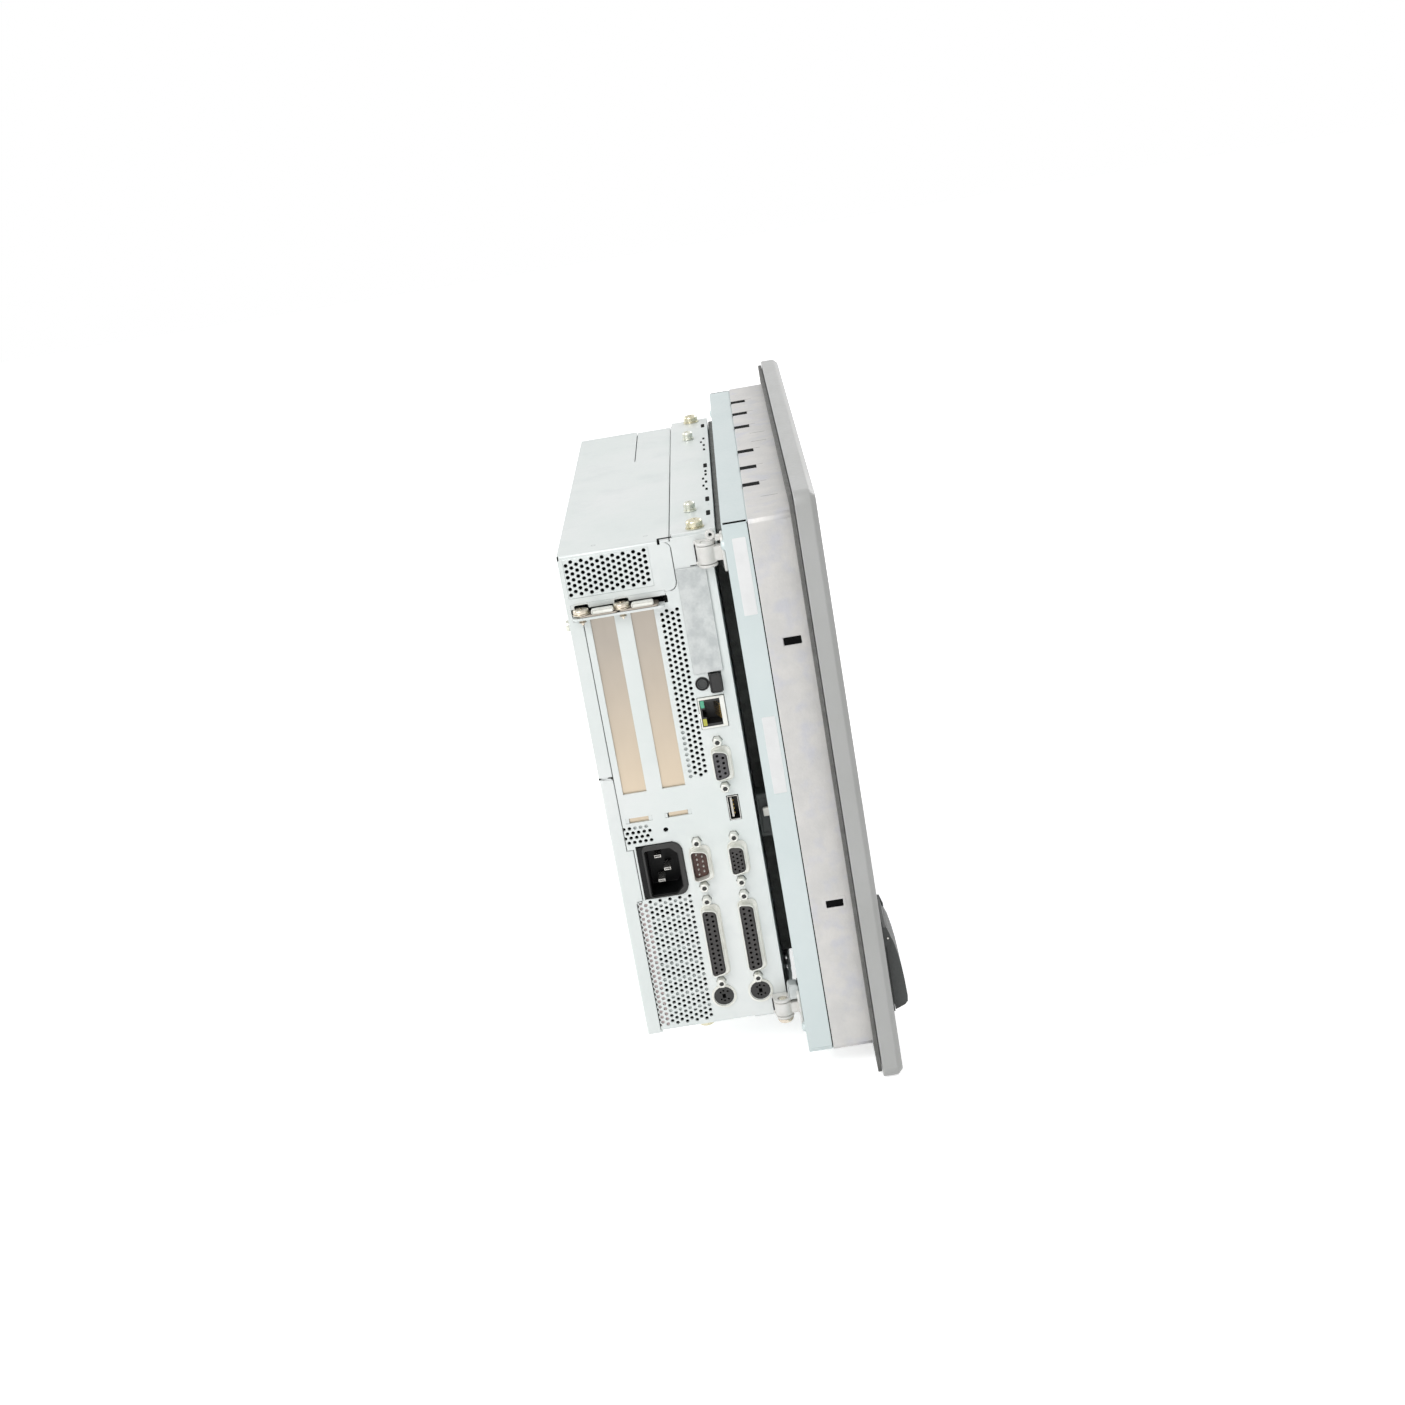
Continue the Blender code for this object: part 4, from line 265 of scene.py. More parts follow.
def makeMaterial(look):
    # clouds of a second colour over the first, with a fine grain in gloss and relief
    material = bpy.data.materials.new(look["name"])
    material.use_nodes = True
    link = material.node_tree.links.new
    shader = material.node_tree.nodes["Principled BSDF"]
    shader.inputs["Metallic"].default_value = look["metallic"]
    if "ior" in look:
        shader.inputs["IOR"].default_value = look["ior"]
    shader.inputs["Specular IOR Level"].default_value = look["specular"]
    spot = addNode(material, "ShaderNodeTexCoord").outputs["Object"]
    mapped = addNode(
        material, "ShaderNodeMapping", {"Vector": spot, "Scale": look["stretch"]}
    ).outputs[0]
    clouds = addNode(
        material,
        "ShaderNodeTexNoise",
        {"Vector": mapped, "Scale": 1 / look["cloudSize"], "Detail": 4, "Roughness": 0.6},
    ).outputs[0]
    amount = addNode(
        material,
        "ShaderNodeMapRange",
        {"Value": clouds, "From Min": 0.38, "From Max": 0.62, "To Max": look["cloudShare"]},
    ).outputs[0]
    colour = addNode(
        material,
        "ShaderNodeMix",
        {0: amount, 6: linear(look["colour"]), 7: linear(look["clouds"])},
        data_type="RGBA",
    ).outputs[2]
    grain = addNode(
        material,
        "ShaderNodeTexNoise",
        {"Vector": mapped, "Scale": 1 / look["grainSize"], "Detail": 2},
    ).outputs[0]
    ends = {
        "To Min": look["roughness"] - look["roughSpread"],
        "To Max": look["roughness"] + look["roughSpread"],
    }
    gloss = addNode(
        material, "ShaderNodeMapRange", {"Value": grain, "From Min": 0.3, "From Max": 0.7, **ends}
    ).outputs[0]
    relief = addNode(
        material,
        "ShaderNodeBump",
        {"Height": grain, "Distance": look["grainDepth"], "Strength": 1},
    ).outputs[0]
    link(colour, shader.inputs["Base Color"])
    link(gloss, shader.inputs["Roughness"])
    link(relief, shader.inputs["Normal"])
    return material


# What most looks have; each look below names what it has otherwise, or the look that it is like
ordinary = {
    "cloudSize": 0.006, "cloudShare": 0.7, "metallic": 0, "roughness": 0.42, "roughSpread": 0.08,
    "grainSize": 0.0012, "grainDepth": 0.00003, "specular": 0.5, "stretch": (1, 1, 1),
}
looks = {
    # Steel sheet, zinc plated and passivated: satin, slightly cold grey with faint broad clouds
    "passivatedSheet": {
        "name": "passivated steel sheet", "colour": "dbe1df", "clouds": "e2e5e4",
        "cloudSize": 0.07, "cloudShare": 0.8, "metallic": 0.3, "roughSpread": 0.06,
        "grainSize": 0.0016, "grainDepth": 0.00002,
    },
    # The same zinc coat on the rear frame, thicker, which turns it cooler and a shade darker
    "thickSheet": {
        "name": "thickly passivated sheet", "like": "passivatedSheet",
        "colour": "cdd8d8", "clouds": "d4dddd",
    },
    # Steel sheet, hot-dip galvanised: duller and greyer, with a visible grain
    "galvanisedSheet": {
        "name": "galvanised steel sheet", "colour": "b9bdbd", "clouds": "cdd0cf",
        "cloudShare": 1, "metallic": 0.5, "roughness": 0.5, "roughSpread": 0.1,
        "grainDepth": 0.00005,
    },
    # Aluminium, pressure cast: cloudy warm grey where the melt ran, sandy to the touch
    "castAluminium": {
        "name": "cast aluminium", "colour": "cecdcb", "clouds": "d8d6d3",
        "cloudSize": 0.014, "cloudShare": 0.8, "metallic": 0.35, "roughness": 0.5,
        "roughSpread": 0.1, "grainSize": 0.0011, "grainDepth": 0.00006,
    },
    # Aluminium in a mould groove: the same metal, darkened as painted shade of the groove
    "mouldGrooveShade": {
        "name": "cast aluminium with painted groove shade", "like": "castAluminium",
        "colour": "9a9896", "clouds": "aaa7a5",
    },
    # Enamel sprayed on the cast front: even satin grey with a fine orange peel
    "sprayedEnamel": {
        "name": "sprayed enamel", "colour": "afb0ae", "clouds": "b6b7b6",
        "cloudSize": 0.05, "cloudShare": 0.6, "roughness": 0.38, "roughSpread": 0.05,
        "grainSize": 0.0022, "grainDepth": 0.00004,
    },
    # Polyester film, embossed: pale matt grey with a fine velvet texture
    "polyesterFilm": {
        "name": "polyester film", "colour": "c9cdcd", "clouds": "cfd2d1",
        "cloudSize": 0.08, "cloudShare": 0.5, "roughness": 0.46, "grainSize": 0.0009,
    },
    # The film's printed surround of the screen: dark slate, same velvet texture
    "printedFilm": {
        "name": "printed polyester film", "like": "polyesterFilm",
        "colour": "4b5358", "clouds": "535b60",
    },
    # EPDM rubber, foamed: dull dark grey with open pores; the same grey also stands as painted
    # shade in seams and in the gap between the units
    "foamRubberAndSeamShade": {
        "name": "foam rubber and painted seam shade", "colour": "656563", "clouds": "727270",
        "cloudSize": 0.004, "cloudShare": 1, "roughness": 0.85, "grainSize": 0.0008,
        "grainDepth": 0.00015,
    },
    # Painted shade: near black with the foam's pores, put where vents, slits, slots and seams show
    # only shade
    "paintedShadeBlack": {
        "name": "black painted shade", "like": "foamRubberAndSeamShade",
        "colour": "080909", "clouds": "0f1010", "specular": 0.1,
    },
    # Touch glass with an anti-glare coat over a dark display: near black, slightly blue
    "coatedGlass": {
        "name": "anti-glare touch glass", "colour": "12171b", "clouds": "1a2228",
        "cloudSize": 0.12, "ior": 1.52, "roughness": 0.14, "roughSpread": 0.04,
        "grainSize": 0.012, "grainDepth": 0.000003,
    },
    # ABS, spark eroded mould: dark grey with a leather-like grain
    "texturedAbs": {
        "name": "textured ABS", "colour": "363938", "clouds": "3e4140",
        "cloudSize": 0.02, "cloudShare": 0.6, "ior": 1.53, "roughness": 0.5,
        "roughSpread": 0.1, "grainSize": 0.0009, "grainDepth": 0.00005,
    },
    # PBT, polished mould: black with a clear gloss
    "glossyPbt": {
        "name": "glossy PBT", "colour": "1b1c1d", "clouds": "232425",
        "cloudSize": 0.008, "cloudShare": 0.6, "ior": 1.55, "roughness": 0.2,
        "roughSpread": 0.05, "grainSize": 0.0025, "grainDepth": 0.00001,
    },
    # Clear polycarbonate light guides, tinted by what is behind them
    "greenGuide": {
        "name": "green light guide", "like": "glossyPbt", "colour": "4aa886", "clouds": "5cb896",
    },
    "yellowGuide": {
        "name": "yellow light guide", "like": "glossyPbt", "colour": "b7b53d", "clouds": "c6c455",
    },
    # PBT with glass fibre, plain mould: near black, half matt, with flow marks; it also stands as
    # painted shade inside the connector posts' holes
    "filledPbtAndHoleShade": {
        "name": "glass-filled PBT and painted hole shade", "colour": "141413", "clouds": "1c1c1b",
        "cloudSize": 0.004, "ior": 1.55, "roughSpread": 0.1, "grainSize": 0.0007,
    },
    # PBT of the inlet's recess, eroded mould: black with hardly any gloss, darker than the rim as
    # painted shade of the recess
    "recessShadePbt": {
        "name": "black eroded PBT with painted recess shade", "like": "filledPbtAndHoleShade",
        "colour": "0a0b0c", "clouds": "111213", "specular": 0.2,
    },
    # The D-connectors' insulators: warm dark grey, and reddish brown on the male one
    "paleInsulator": {
        "name": "pale grey filled PBT", "like": "filledPbtAndHoleShade", "colour": "4c4a4c", "clouds": "555356",
    },
    "greyInsulator": {
        "name": "grey filled PBT", "like": "filledPbtAndHoleShade", "colour": "302d2c", "clouds": "292726",
    },
    "brownInsulator": {
        "name": "brown filled PBT", "like": "filledPbtAndHoleShade", "colour": "4c2b21", "clouds": "3e231a",
    },
    # Polyamide, natural: creamy white, slightly waxy
    "naturalNylon": {
        "name": "natural polyamide", "colour": "dcd7cf", "clouds": "e6e2db",
        "cloudSize": 0.01, "ior": 1.53, "roughness": 0.4,
    },
    # Steel, tin plated: pale cream silver, bright on its edges
    "tinnedSteel": {
        "name": "tinned steel", "colour": "dedcd3", "clouds": "cac7bb",
        "cloudSize": 0.005, "cloudShare": 0.8, "metallic": 0.85, "roughness": 0.3,
        "grainSize": 0.0008, "grainDepth": 0.00001,
    },
    # Steel, tin plated and left matt: the connectors' shells, near white
    "mattTin": {
        "name": "matt tinned steel", "like": "tinnedSteel",
        "colour": "ebebe5", "clouds": "dcdcd5", "metallic": 0.45, "roughness": 0.4,
    },
    # Steel, nickel plated and drawn: bright, near neutral
    "nickelSteel": {
        "name": "nickel-plated steel", "like": "tinnedSteel",
        "colour": "d3d2ce", "clouds": "bdbbb6", "roughness": 0.22,
    },
    # Copper alloy, gold flashed: the contacts
    "goldContact": {
        "name": "gold-flashed bronze", "like": "nickelSteel",
        "colour": "e0bf6f", "clouds": "c9a55a",
    },
    # Steel, zinc plated and yellow passivated: champagne with a faint green and rose shift
    "yellowZinc": {
        "name": "yellow passivated zinc", "colour": "dcd5c4", "clouds": "c9bcae",
        "metallic": 0.9, "roughness": 0.28, "grainSize": 0.0006, "grainDepth": 0.00001,
    },
    # The same plating worn thin on the smaller screws: silver with a breath of green
    "paleZinc": {
        "name": "pale passivated zinc", "like": "yellowZinc",
        "colour": "dedfd4", "clouds": "c3c4b6",
    },
    # And thick on the large ones: straw with olive in its folds
    "strawZinc": {
        "name": "straw passivated zinc", "like": "yellowZinc",
        "colour": "ddd8c2", "clouds": "b8b294",
    },
    # Zinc, pressure cast and painted: warm off-white hinge blocks
    "castZinc": {
        "name": "painted cast zinc", "colour": "e0dfdc", "clouds": "d2d0cb",
        "metallic": 0.2, "grainSize": 0.001, "grainDepth": 0.00004,
    },
    # Aluminium, extruded: bright grey with long die lines
    "extrudedAluminium": {
        "name": "extruded aluminium", "colour": "b9bcbd", "clouds": "a3a7a9",
        "cloudSize": 0.004, "cloudShare": 0.8, "metallic": 1, "roughness": 0.38,
        "roughSpread": 0.1, "grainSize": 0.0015, "grainDepth": 0.00002, "stretch": (1, 1, 0.05),
    },
    # Epoxy glass board under solder mask: deep green, the copper's pattern faintly showing
    "maskedBoard": {
        "name": "solder-masked board", "colour": "24573a", "clouds": "2f6b46",
        "cloudSize": 0.003, "cloudShare": 1, "ior": 1.55, "roughness": 0.3,
        "stretch": (1, 1, 0.2),
    },
    # Paper label with a clear film: plain white
    "labelPaper": {
        "name": "coated label paper", "colour": "f1f2f2", "clouds": "e9eaea",
        "cloudSize": 0.01, "cloudShare": 0.6, "roughness": 0.35, "roughSpread": 0.05,
        "grainSize": 0.0009, "grainDepth": 0.00001,
    },
    # Pressboard that lines the supply's edge: pinkish grey, fibrous
    "pressboard": {
        "name": "pinkish pressboard", "like": "labelPaper",
        "colour": "e3cfcf", "clouds": "d3b9ba", "cloudSize": 0.004, "roughness": 0.7,
    },
    # Stainless steel, bright rolled: its brownish colour is a painted reflection of the bench it
    # stood on, painted warmer towards its foot
    "slotSteel": {
        "name": "bright rolled steel with painted reflection", "colour": "a8a096", "clouds": "b0a79c",
        "cloudSize": 0.02, "cloudShare": 0.5, "metallic": 0.8, "roughness": 0.36,
        "roughSpread": 0.04, "grainSize": 0.004, "grainDepth": 0.000003, "stretch": (1, 1, 0.3),
    },
}
materials = {}
for key, look in looks.items():
    looks[key] = {**ordinary, **looks.get(look.get("like"), {}), **look}
    materials[key] = makeMaterial(looks[key])
print("materials made:", len(materials))


def paintFootReflection(material, colour, low, high):
    # painted reflection: a warmer colour from the foot upwards
    spot = addNode(material, "ShaderNodeTexCoord").outputs["Object"]
    height = addNode(material, "ShaderNodeSeparateXYZ", {"Vector": spot}).outputs["Z"]
    ends = {"From Min": low, "From Max": high, "To Min": 1, "To Max": 0}
    share = addNode(material, "ShaderNodeMapRange", {"Value": height, **ends}).outputs[0]
    paintOver(material, share, colour)


def addSecondClouds(material, colour, size, share, low, high):
    # a further cloud colour over the base
    spot = addNode(material, "ShaderNodeTexCoord").outputs["Object"]
    moved = addNode(material, "ShaderNodeMapping", {"Vector": spot, "Location": (3.1, 1.7, 0.4)})
    clouds = addNode(
        material,
        "ShaderNodeTexNoise",
        {"Vector": moved.outputs[0], "Scale": 1 / size, "Detail": 3, "Roughness": 0.55},
    ).outputs[0]
    ends = {"From Min": low, "From Max": high, "To Max": share}
    amount = addNode(material, "ShaderNodeMapRange", {"Value": clouds, **ends}).outputs[0]
    paintOver(material, amount, colour)


# painted reflection: the slot covers' steel warmer towards its foot
paintFootReflection(materials["slotSteel"], "c9baa5", 0.005, 0.085)
# lilac release agent on the casting, finger smudges on the sheets
addSecondClouds(materials["castAluminium"], "c3c5d0", 0.012, 0.5, 0.5, 0.68)
addSecondClouds(materials["passivatedSheet"], "cdd3d3", 0.018, 0.3, 0.52, 0.72)


# Places that several pieces share
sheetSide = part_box("top_cover")[0].x  # outer face of the port side
sheetThickness = 0.0012
sheetInner = sheetSide + sheetThickness
slotLedge = {"low": 0.0990, "high": 0.1020, "rise": 0.0014}  # the ledge and tabs sit higher
ventPattern = {"hole": 0.00196, "sides": 12}
connectorRows = {"front": 0.0561, "rear": 0.0755}  # the two columns of ports, by their Y
bend = 0.0011  # how far the sheets' folds are rounded


def dressNodes():
    # pieces that keep their CAD shape, with their bends and edges rounded: width, steps, angle
    thin = (0.00018, 1)
    groups = (
        (computer, "passivatedSheet", "case_sheet", thin, "drive_bay_cover top_rail bottom_rail"),
        (computer, "galvanisedSheet", "bare_sheet", thin, "card_slot_cover card_cage disk_tray"),
        (operator, "galvanisedSheet", "carrier_sheet", thin, "display_carrier"),
        (operator, "thickSheet", "frame_sheet", (0.00027, 2), "rear_frame"),
        (operator, "castAluminium", "cast_aluminium", (0.0004, 2), "cast_housing"),
        (operator, "sprayedEnamel", "front_enamel", (0.0005, 3, 25), "front_bezel"),
        (operator, "foamRubberAndSeamShade", "gasket_rubber", (0.0003, 2), "panel_gasket"),
        (
            operator, "castZinc", "hinge_block", (0.0005, 2),
            "upper_hinge_bracket lower_hinge_bracket",
        ),
        (computer, "castZinc", "case_sheet", (0.0004, 2), "upper_hinge_leaf lower_hinge_leaf"),
        (computer, "castZinc", "zinc_screw", (0.0004, 2, 50), "upper_hinge_pin"),
        (computer, "yellowZinc", "zinc_screw", (0.0004, 2, 50), "lower_hinge_pin"),
        (
            computer, "nickelSteel", "zinc_screw", (0.0004, 2),
            "captive_screw_upper captive_screw_lower",
        ),
    )
    for body, look, slot, rounding, names in groups:
        for node in names.split():
            first, *rest = node.split("_")
            name = first + "".join(word.title() for word in rest)
            finish(soften(copyNode(node), *rounding), name, body, look, (node,))

    chassis = soften(copyNode("chassis"), *thin)
    finish(chassis, "chassisShell", computer, "passivatedSheet", ("chassis",))
    cover = copyNode("rear_cover")
    low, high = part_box("rear_cover")
    roundEdges(cover, along("Z", x=low.x, y=high.y), bend)
    soften(cover, *thin)
    finish(cover, "rearCover", computer, "passivatedSheet", ("rear_cover",))
    print("sheets and castings dressed")


def ventCutter(field):
    # one cutter for a staggered field of round holes: every second line is set back half a step
    near = sheetSide - sheetThickness
    first = addRod(
        "X", near, near + 3 * sheetThickness, 0, 0, ventPattern["hole"] / 2, ventPattern["sides"]
    )
    (y, z), (across, rise) = field["start"], field["step"]
    holes = []
    for line in range(field["lines"]):
        for number in range(field["places"]):
            place = number - line % 2 / 2
            shift = (line * across, place * rise)
            if field.get("turned"):
                shift = (place * across, line * rise)
            holes.append(duplicate(first, y=y + shift[0], z=z + shift[1]))
    discard(first)
    return join(holes)


def lift(piece, low, high, rise):
    # the faces that lie between two heights go up, and stretch what they hang on
    heights = [vertex.co.z for vertex in piece.data.vertices]
    openMesh(piece, faces=lambda face: all(low < heights[i] < high for i in face.vertices))
    bpy.ops.transform.translate(value=(0, 0, rise))
    closeMesh()
    return piece


def cornerPiece(near, far, radius, y=0.0664, z=0.1278, end=0.1314):
    # what a rounded corner of the top cover's flange leaves free
    piece = addBlock((near, 0.0620, min(z, end)), (far, y, max(z, end)))
    return combine(piece, addRod("X", near - 0.001, far + 0.001, y, z, radius, 48))


def fillPatches(piece, patches):
    for (y, z), (yEnd, zEnd) in patches:
        combine(piece, addBlock((sheetSide, y, z), (sheetInner, yEnd, zEnd)), "UNION")


def dressPortSheet():
    # the punched side: the CAD sheet with its vent fields punched anew at their full count
    patches = (
        ((0.0634, 0.0076), (0.0741, 0.1002)),
        ((0.0958, -0.0238), (0.11135, -0.0124)),
        ((0.0826, -0.1275), (0.11135, -0.0544)),
        ((0.0654, 0.1060), (0.0690, 0.10685)),
    )
    fields = (
        {"start": (0.06458, 0.01047), "step": (0.00264, 0.002985), "lines": 4, "places": 30},
        {
            "start": (0.0995, -0.0139), "step": (0.00291, -0.0026), "lines": 4, "places": 5,
            "turned": True,
        },
        {"start": (0.08395, -0.12458), "step": (0.00259, 0.002992), "lines": 11, "places": 24},
        {"start": (0.11155, -0.12608), "step": (0.00259, 0.002992), "lines": 1, "places": 24},
    )
    piece = lift(copyNode("port_panel"), **slotLedge)
    fillPatches(piece, patches)
    combine(piece, cornerPiece(sheetSide, sheetInner, 0.0041), "UNION")
    combine(piece, cornerPiece(sheetSide, sheetInner, 0.0043, 0.0667, 0.1109, 0.1064), "UNION")
    for field in fields:
        combine(piece, ventCutter(field))
    near, far = sheetSide - 0.0005, sheetInner + 0.0005
    for y in (0.0960, 0.0760):
        combine(piece, addBlock((near, y, 0.0048), (far, y + 0.0011, 0.1000)))
    combine(piece, addRod("X", near, far, 0.0899, -0.01745, 0.0013, 16))
    activate(piece)
    bpy.ops.object.shade_flat()
    finish(piece, "portSheet", computer, "passivatedSheet", ("port_panel",))
    print("port sheet punched")


def dressTopCover():
    field = {"start": (0.07575, 0.1142), "step": (0.002614, 0.00303), "lines": 16, "places": 6}
    low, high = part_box("top_cover")
    piece = copyNode("top_cover")
    patches = (
        ((0.0736, 0.1108), (0.1164, 0.1307)),
        ((0.0690, 0.1051), (0.1164, 0.1078)),  # the flange comes down between the screw heads
    )
    fillPatches(piece, patches)
    near, far = sheetSide - 0.001, sheetInner + 0.001
    for middle in (0.1111, 0.0910):
        bump = addBlock((near, middle - 0.0035, 0.1040), (far, middle + 0.0035, 0.1070))
        combine(piece, roundEdges(bump, along("X"), 0.0007, 2))
    combine(piece, ventCutter(field))
    combine(piece, cornerPiece(near, far, 0.0038))
    roundEdges(piece, along("Y", x=low.x, z=high.z), bend)
    soften(piece, 0.00015, 1, 50)
    finish(piece, "topCover", computer, "passivatedSheet", ("top_cover",))
    print("top cover dressed")


dressNodes()
dressPortSheet()
dressTopCover()


def addVentShades():
    # what shows through the vents: black blocks of painted shade, and pale strips in front of some
    # of them
    near = sheetInner + 0.0001
    strip = near + 0.0003
    ventShadeBack = strip + 0.0009
    ventShadeBoxes = (
        ((strip, 0.0630, 0.0070), (ventShadeBack, 0.0761, 0.0988)),
        ((strip, 0.0880, -0.0238), (ventShadeBack, 0.1113, -0.0124)),
        ((strip, 0.0736, 0.1108), (ventShadeBack, 0.1165, 0.1315)),
        ((strip, 0.0826, -0.1278), (ventShadeBack, 0.1120, -0.0544)),
    )
    addBlocks("ventShades", computer, "paintedShadeBlack", ventShadeBoxes)
    first, pitch, half = -0.1193, 0.00875, 0.00115
    heights = [first + i * pitch for i in range(8)]
    louvres = [((near, 0.0830, z - half), (strip, 0.1062, z + half)) for z in heights]
    pale = (
        *louvres,
        ((near, 0.0713, 0.0075), (strip, 0.0737, 0.0340)),
        ((near, 0.0976, -0.0153), (strip, 0.1064, -0.0126)),
    )
    addBlocks("louvres", computer, "galvanisedSheet", pale)
    lining = ((near, 0.1063, -0.1275), (strip, 0.1111, -0.0546))
    addBlocks("supplyLining", computer, "pressboard", (lining,))


def addSeamMarks():
    # what darkens, closes or marks the seams between the sheets: dark strips of painted shade first
    near = sheetInner + 0.0001
    shadeStrip = near + 0.0008
    seams = (
        ((near, 0.1113, -0.0240), (shadeStrip, 0.1125, 0.0985)),
        ((near, 0.1075, -0.0560), (shadeStrip, 0.1110, -0.0540)),
        ((near, 0.1066, -0.0545), (shadeStrip, 0.1092, -0.0240)),
        ((near, 0.1120, 0.0140), (shadeStrip, 0.1185, 0.0165)),
        ((near, 0.0620, 0.1085), (shadeStrip, 0.0632, 0.1285)),
        ((near, 0.0630, 0.1270), (shadeStrip, 0.0668, 0.1312)),
    )
    addBlocks("seamShadeStrips", computer, "foamRubberAndSeamShade", seams)
    # short black marks of painted shade in the gaps where folds meet
    face, back = sheetSide - 0.00006, sheetSide + 0.001
    marks = (
        ((face, 0.0674, 0.1308), (back, 0.0687, 0.1331)),
        ((face, 0.0683, 0.1014), (back, 0.0700, 0.1050)),
        ((face, 0.1180, 0.0146), (back, 0.1189, 0.0156)),
        ((face, 0.1179, 0.1308), (back, 0.1186, 0.1330)),
        ((face, 0.0480, 0.11745), (back, 0.0546, 0.1179)),
    )
    addBlocks("foldGapShades", computer, "paintedShadeBlack", marks)
    # painted shade: a black L where the fold's hook leaves a gap
    hooks = (
        ((-0.1550, 0.0618, 0.1326), (-0.1527, 0.0687, 0.13308)),
        ((-0.1550, 0.0607, 0.1326), (-0.1472, 0.0619, 0.13308)),
    )
    addBlocks("foldHookShade", computer, "paintedShadeBlack", hooks, "Z", 0.0002, 2)
    # two spot welds show as dents on the top
    dents = []
    for x, y in ((-0.1443, 0.1007), (-0.1425, 0.0745)):
        dent = addRod("Z", 0.1320, 0.13304, x, y, 0.0013, 20)
        sink(dent, 0.0005, z=-0.0003, faces=facing(z=1))
        dents.append(soften(dent, 0.0001, 1))
    finish(join(dents), "weldDents", computer, "galvanisedSheet")
    # and small pale pieces close the ends of slots
    inside = sheetSide + 0.0011
    slots = ((0.0754, 0.0771), (0.0876, 0.08897), (0.0957, 0.0975), (0.1075, 0.1093))
    fillers = [
        ((sheetSide + 0.00005, 0.1142, 0.0149), (back, 0.1175, 0.01537)),
        *(
            ((sheetSide + 0.0004, low + 0.0001, -0.0111), (inside, high, -0.0085))
            for low, high in slots
        ),
        ((sheetSide + 0.0001, 0.0436, 0.1313), (inside, 0.0622, 0.1322)),
        ((-0.1549, 0.0405, 0.1328), (-0.1540, 0.0612, 0.1334)),
    ]
    addBlocks("slotFillers", computer, "passivatedSheet", fillers)


def addGapShadesAndCableClamp():
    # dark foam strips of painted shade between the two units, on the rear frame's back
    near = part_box("rear_frame")[1].y - 0.0017
    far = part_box("chassis")[0].y - 0.0004
    boxes = (
        ((0.118, near, -0.084), (0.126, far, 0.116)),
        ((-0.118, near, -0.112), (-0.108, far, 0.116)),
        ((-0.100, near, 0.108), (0.118, far, 0.116)),
        ((-0.150, near, 0.112), (0.139, 0.0390, 0.1325)),
    )
    strips = [soften(addBlock(low, high), 0.0008) for low, high in boxes]
    finish(join(strips), "gapShadeStrips", operator, "foamRubberAndSeamShade")

    block = addBlock((-0.147, near, -0.034), (-0.135, far - 0.0006, -0.010))
    sink(roundEdges(block, along("Y"), 0.0015), 0.0012, 0.0006)
    finish(soften(block, 0.0002, 1), "cableClamp", operator, "texturedAbs")
    clip = addBlock((-0.150, near, -0.0215), (-0.1472, near + 0.0034, -0.0170))
    roundEdges(clip, along("Y"), 0.0008)
    finish(soften(clip, 0.0002, 1), "cableClip", operator, "naturalNylon")


def makeOutline(place, size, depth):
    # a D-shaped solid, its wide side to the rear
    taper = 1 - 2 * size["height"] * math.tan(math.radians(10)) / size["length"]
    x, y, z = place
    half, rise = size["length"] / 2, size["height"] / 2
    solid = addBlock((x, y - rise, z - half), (x + depth, y + rise, z + half))
    openMesh(solid, faces=facing(y=-1))
    squeeze(Vector(place), z=taper)
    closeMesh()
    return roundEdges(solid, along("X"), size["corner"], 4)


def contactPlaces(connector):
    # two or three rows of contacts, the widest row to the rear
    places = []
    rows = connector["rows"]
    for number, count in enumerate(rows):
        across = ((len(rows) - 1) / 2 - number) * connector["rowPitch"]
        offset = connector["pitch"] / 2 * (number % 2) if rows[0] == rows[-1] else 0
        for i in range(count):
            rise = (i - (count - 1) / 2) * connector["pitch"] - offset
            places.append((connector["y"] + across, connector["z"] + rise))
    return places


